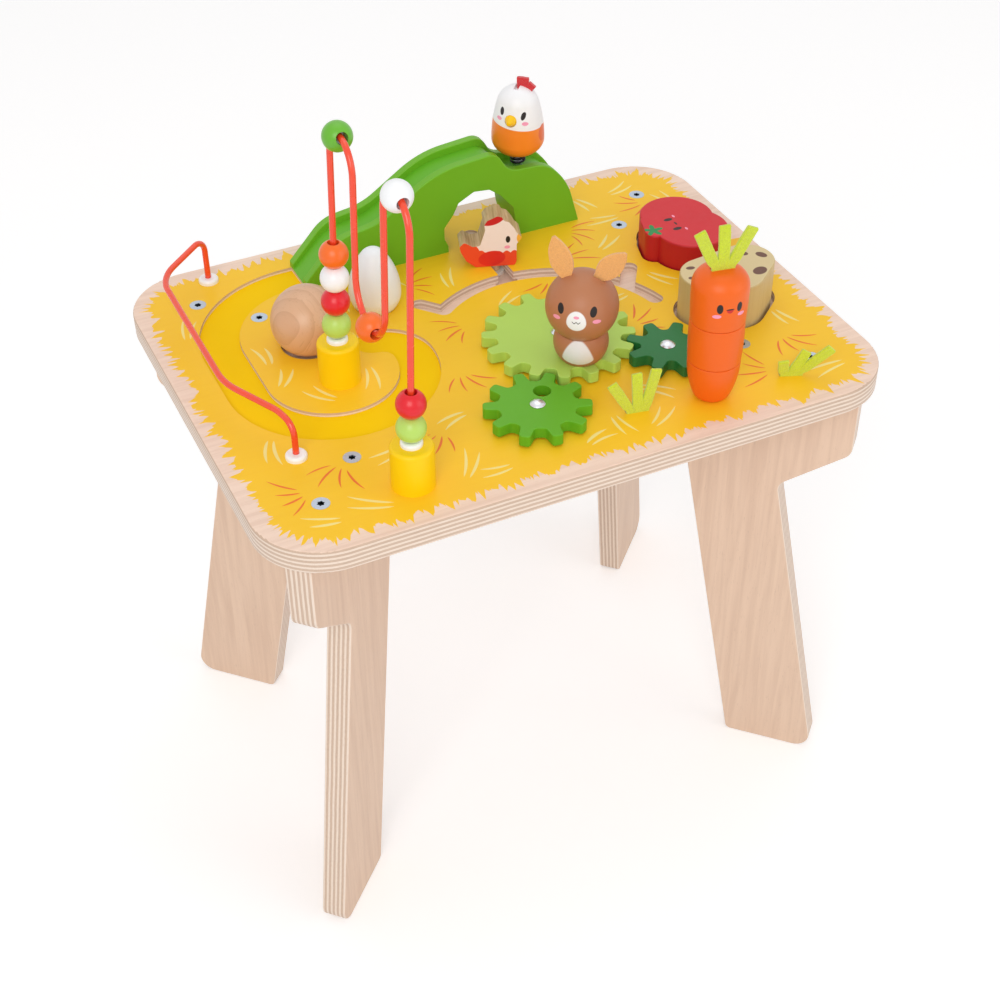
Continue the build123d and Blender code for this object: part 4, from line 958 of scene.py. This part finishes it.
def white_to_camera(tree):
    """A factor that is 1 for rays that show the background as it is."""
    path = tree.nodes.new("ShaderNodeLightPath")
    total = path.outputs["Is Camera Ray"]
    for name in ("Is Glossy Ray", "Is Transmission Ray"):
        node = tree.nodes.new("ShaderNodeMath")
        node.operation = "MAXIMUM"
        tree.links.new(total, node.inputs[0])
        tree.links.new(path.outputs[name], node.inputs[1])
        total = node.outputs[0]
    return total


world = bpy.data.worlds.new("studio")
bpy.context.scene.world = world
world.use_nodes = True
world_tree = world.node_tree
world_tree.nodes.clear()
world_out = world_tree.nodes.new("ShaderNodeOutputWorld")
room = world_tree.nodes.new("ShaderNodeBackground")
room.inputs["Color"].default_value = (1.0, 0.985, 0.97, 1.0)
room.inputs["Strength"].default_value = 0.6
paper = world_tree.nodes.new("ShaderNodeBackground")
paper.inputs["Color"].default_value = (1.0, 1.0, 1.0, 1.0)
paper.inputs["Strength"].default_value = 1.0
blend = world_tree.nodes.new("ShaderNodeMixShader")
world_tree.links.new(white_to_camera(world_tree), blend.inputs[0])
world_tree.links.new(room.outputs[0], blend.inputs[1])
world_tree.links.new(paper.outputs[0], blend.inputs[2])
world_tree.links.new(blend.outputs[0], world_out.inputs[0])

FLOOR_REACH, FLOOR_LEVEL = 6.0, -0.0002
FLOOR_CORNERS = ((-1, -1), (1, -1), (1, 1), (-1, 1))
floor_mesh = bpy.data.meshes.new("floor")
floor_mesh.from_pydata([(sx * FLOOR_REACH, sy * FLOOR_REACH, FLOOR_LEVEL) for sx, sy in FLOOR_CORNERS],
                       [], [(0, 1, 2, 3)])
floor = bpy.data.objects.new("floor", floor_mesh)
bpy.context.scene.collection.objects.link(floor)
floor_material = bpy.data.materials.new("floor_paper")
floor_material.use_nodes = True
floor_tree = floor_material.node_tree
floor_shader = floor_tree.nodes["Principled BSDF"]
floor_shader.inputs["Base Color"].default_value = (0.86, 0.86, 0.87, 1.0)
floor_shader.inputs["Roughness"].default_value = 0.9
floor_shader.inputs["Emission Color"].default_value = (1.0, 1.0, 1.0, 1.0)
lift = floor_tree.nodes.new("ShaderNodeMath")
lift.operation = "MULTIPLY"
floor_tree.links.new(white_to_camera(floor_tree), lift.inputs[0])
lift.inputs[1].default_value = 0.28
floor_tree.links.new(lift.outputs[0], floor_shader.inputs["Emission Strength"])
floor_mesh.materials.append(floor_material)


def lamp(name, place, target, power, size, colour=(1.0, 1.0, 1.0)):
    """A square area lamp at a place in metres, turned to its target."""
    data = bpy.data.lights.new(name, "AREA")
    data.energy = power
    data.size = size
    data.color = colour
    thing = bpy.data.objects.new(name, data)
    thing.location = place
    thing.rotation_euler = (Vector(target) - Vector(place)).to_track_quat("-Z", "Y").to_euler()
    bpy.context.scene.collection.objects.link(thing)


lamp("key", (-1.3, -1.9, 1.9), (0, 0, 0.3), 29.0, 1.5, (1.0, 0.99, 0.975))
lamp("fill", (1.7, -1.9, 1.1), (0, 0, 0.25), 10.0, 1.8)
lamp("top", (0.3, 0.7, 2.6), (0, 0, 0.3), 8.0, 1.8)

# The camera: turn, height angle and roll in degrees, place in millimetres, focal length in pixels
TURN, RISE, ROLL = -25.302, 39.845, -0.354
PLACE = (-376.4, -798.0, 599.0 + TOP)
FOCAL, FRAME_SIZE, SENSOR = 1708.1, 1000.0, 36.0
turn, rise, roll = (math.radians(value) for value in (TURN, RISE, ROLL))
back = Vector((math.sin(turn) * math.cos(rise), -math.cos(turn) * math.cos(rise), math.sin(rise)))
right = Vector((math.cos(turn), math.sin(turn), 0))
up = back.cross(right)
right, up = right * math.cos(roll) + up * math.sin(roll), up * math.cos(roll) - right * math.sin(roll)
camera_data = bpy.data.cameras.new("photo_camera")
camera_data.sensor_width = SENSOR
camera_data.lens = FOCAL * SENSOR / FRAME_SIZE
camera = bpy.data.objects.new("photo_camera", camera_data)
basis = Matrix((right, up, back)).transposed().to_4x4()
camera.matrix_world = Matrix.Translation(Vector(PLACE) * MM) @ basis
bpy.context.scene.collection.objects.link(camera)
bpy.context.scene.camera = camera
bpy.context.scene.view_settings.view_transform = "Standard"
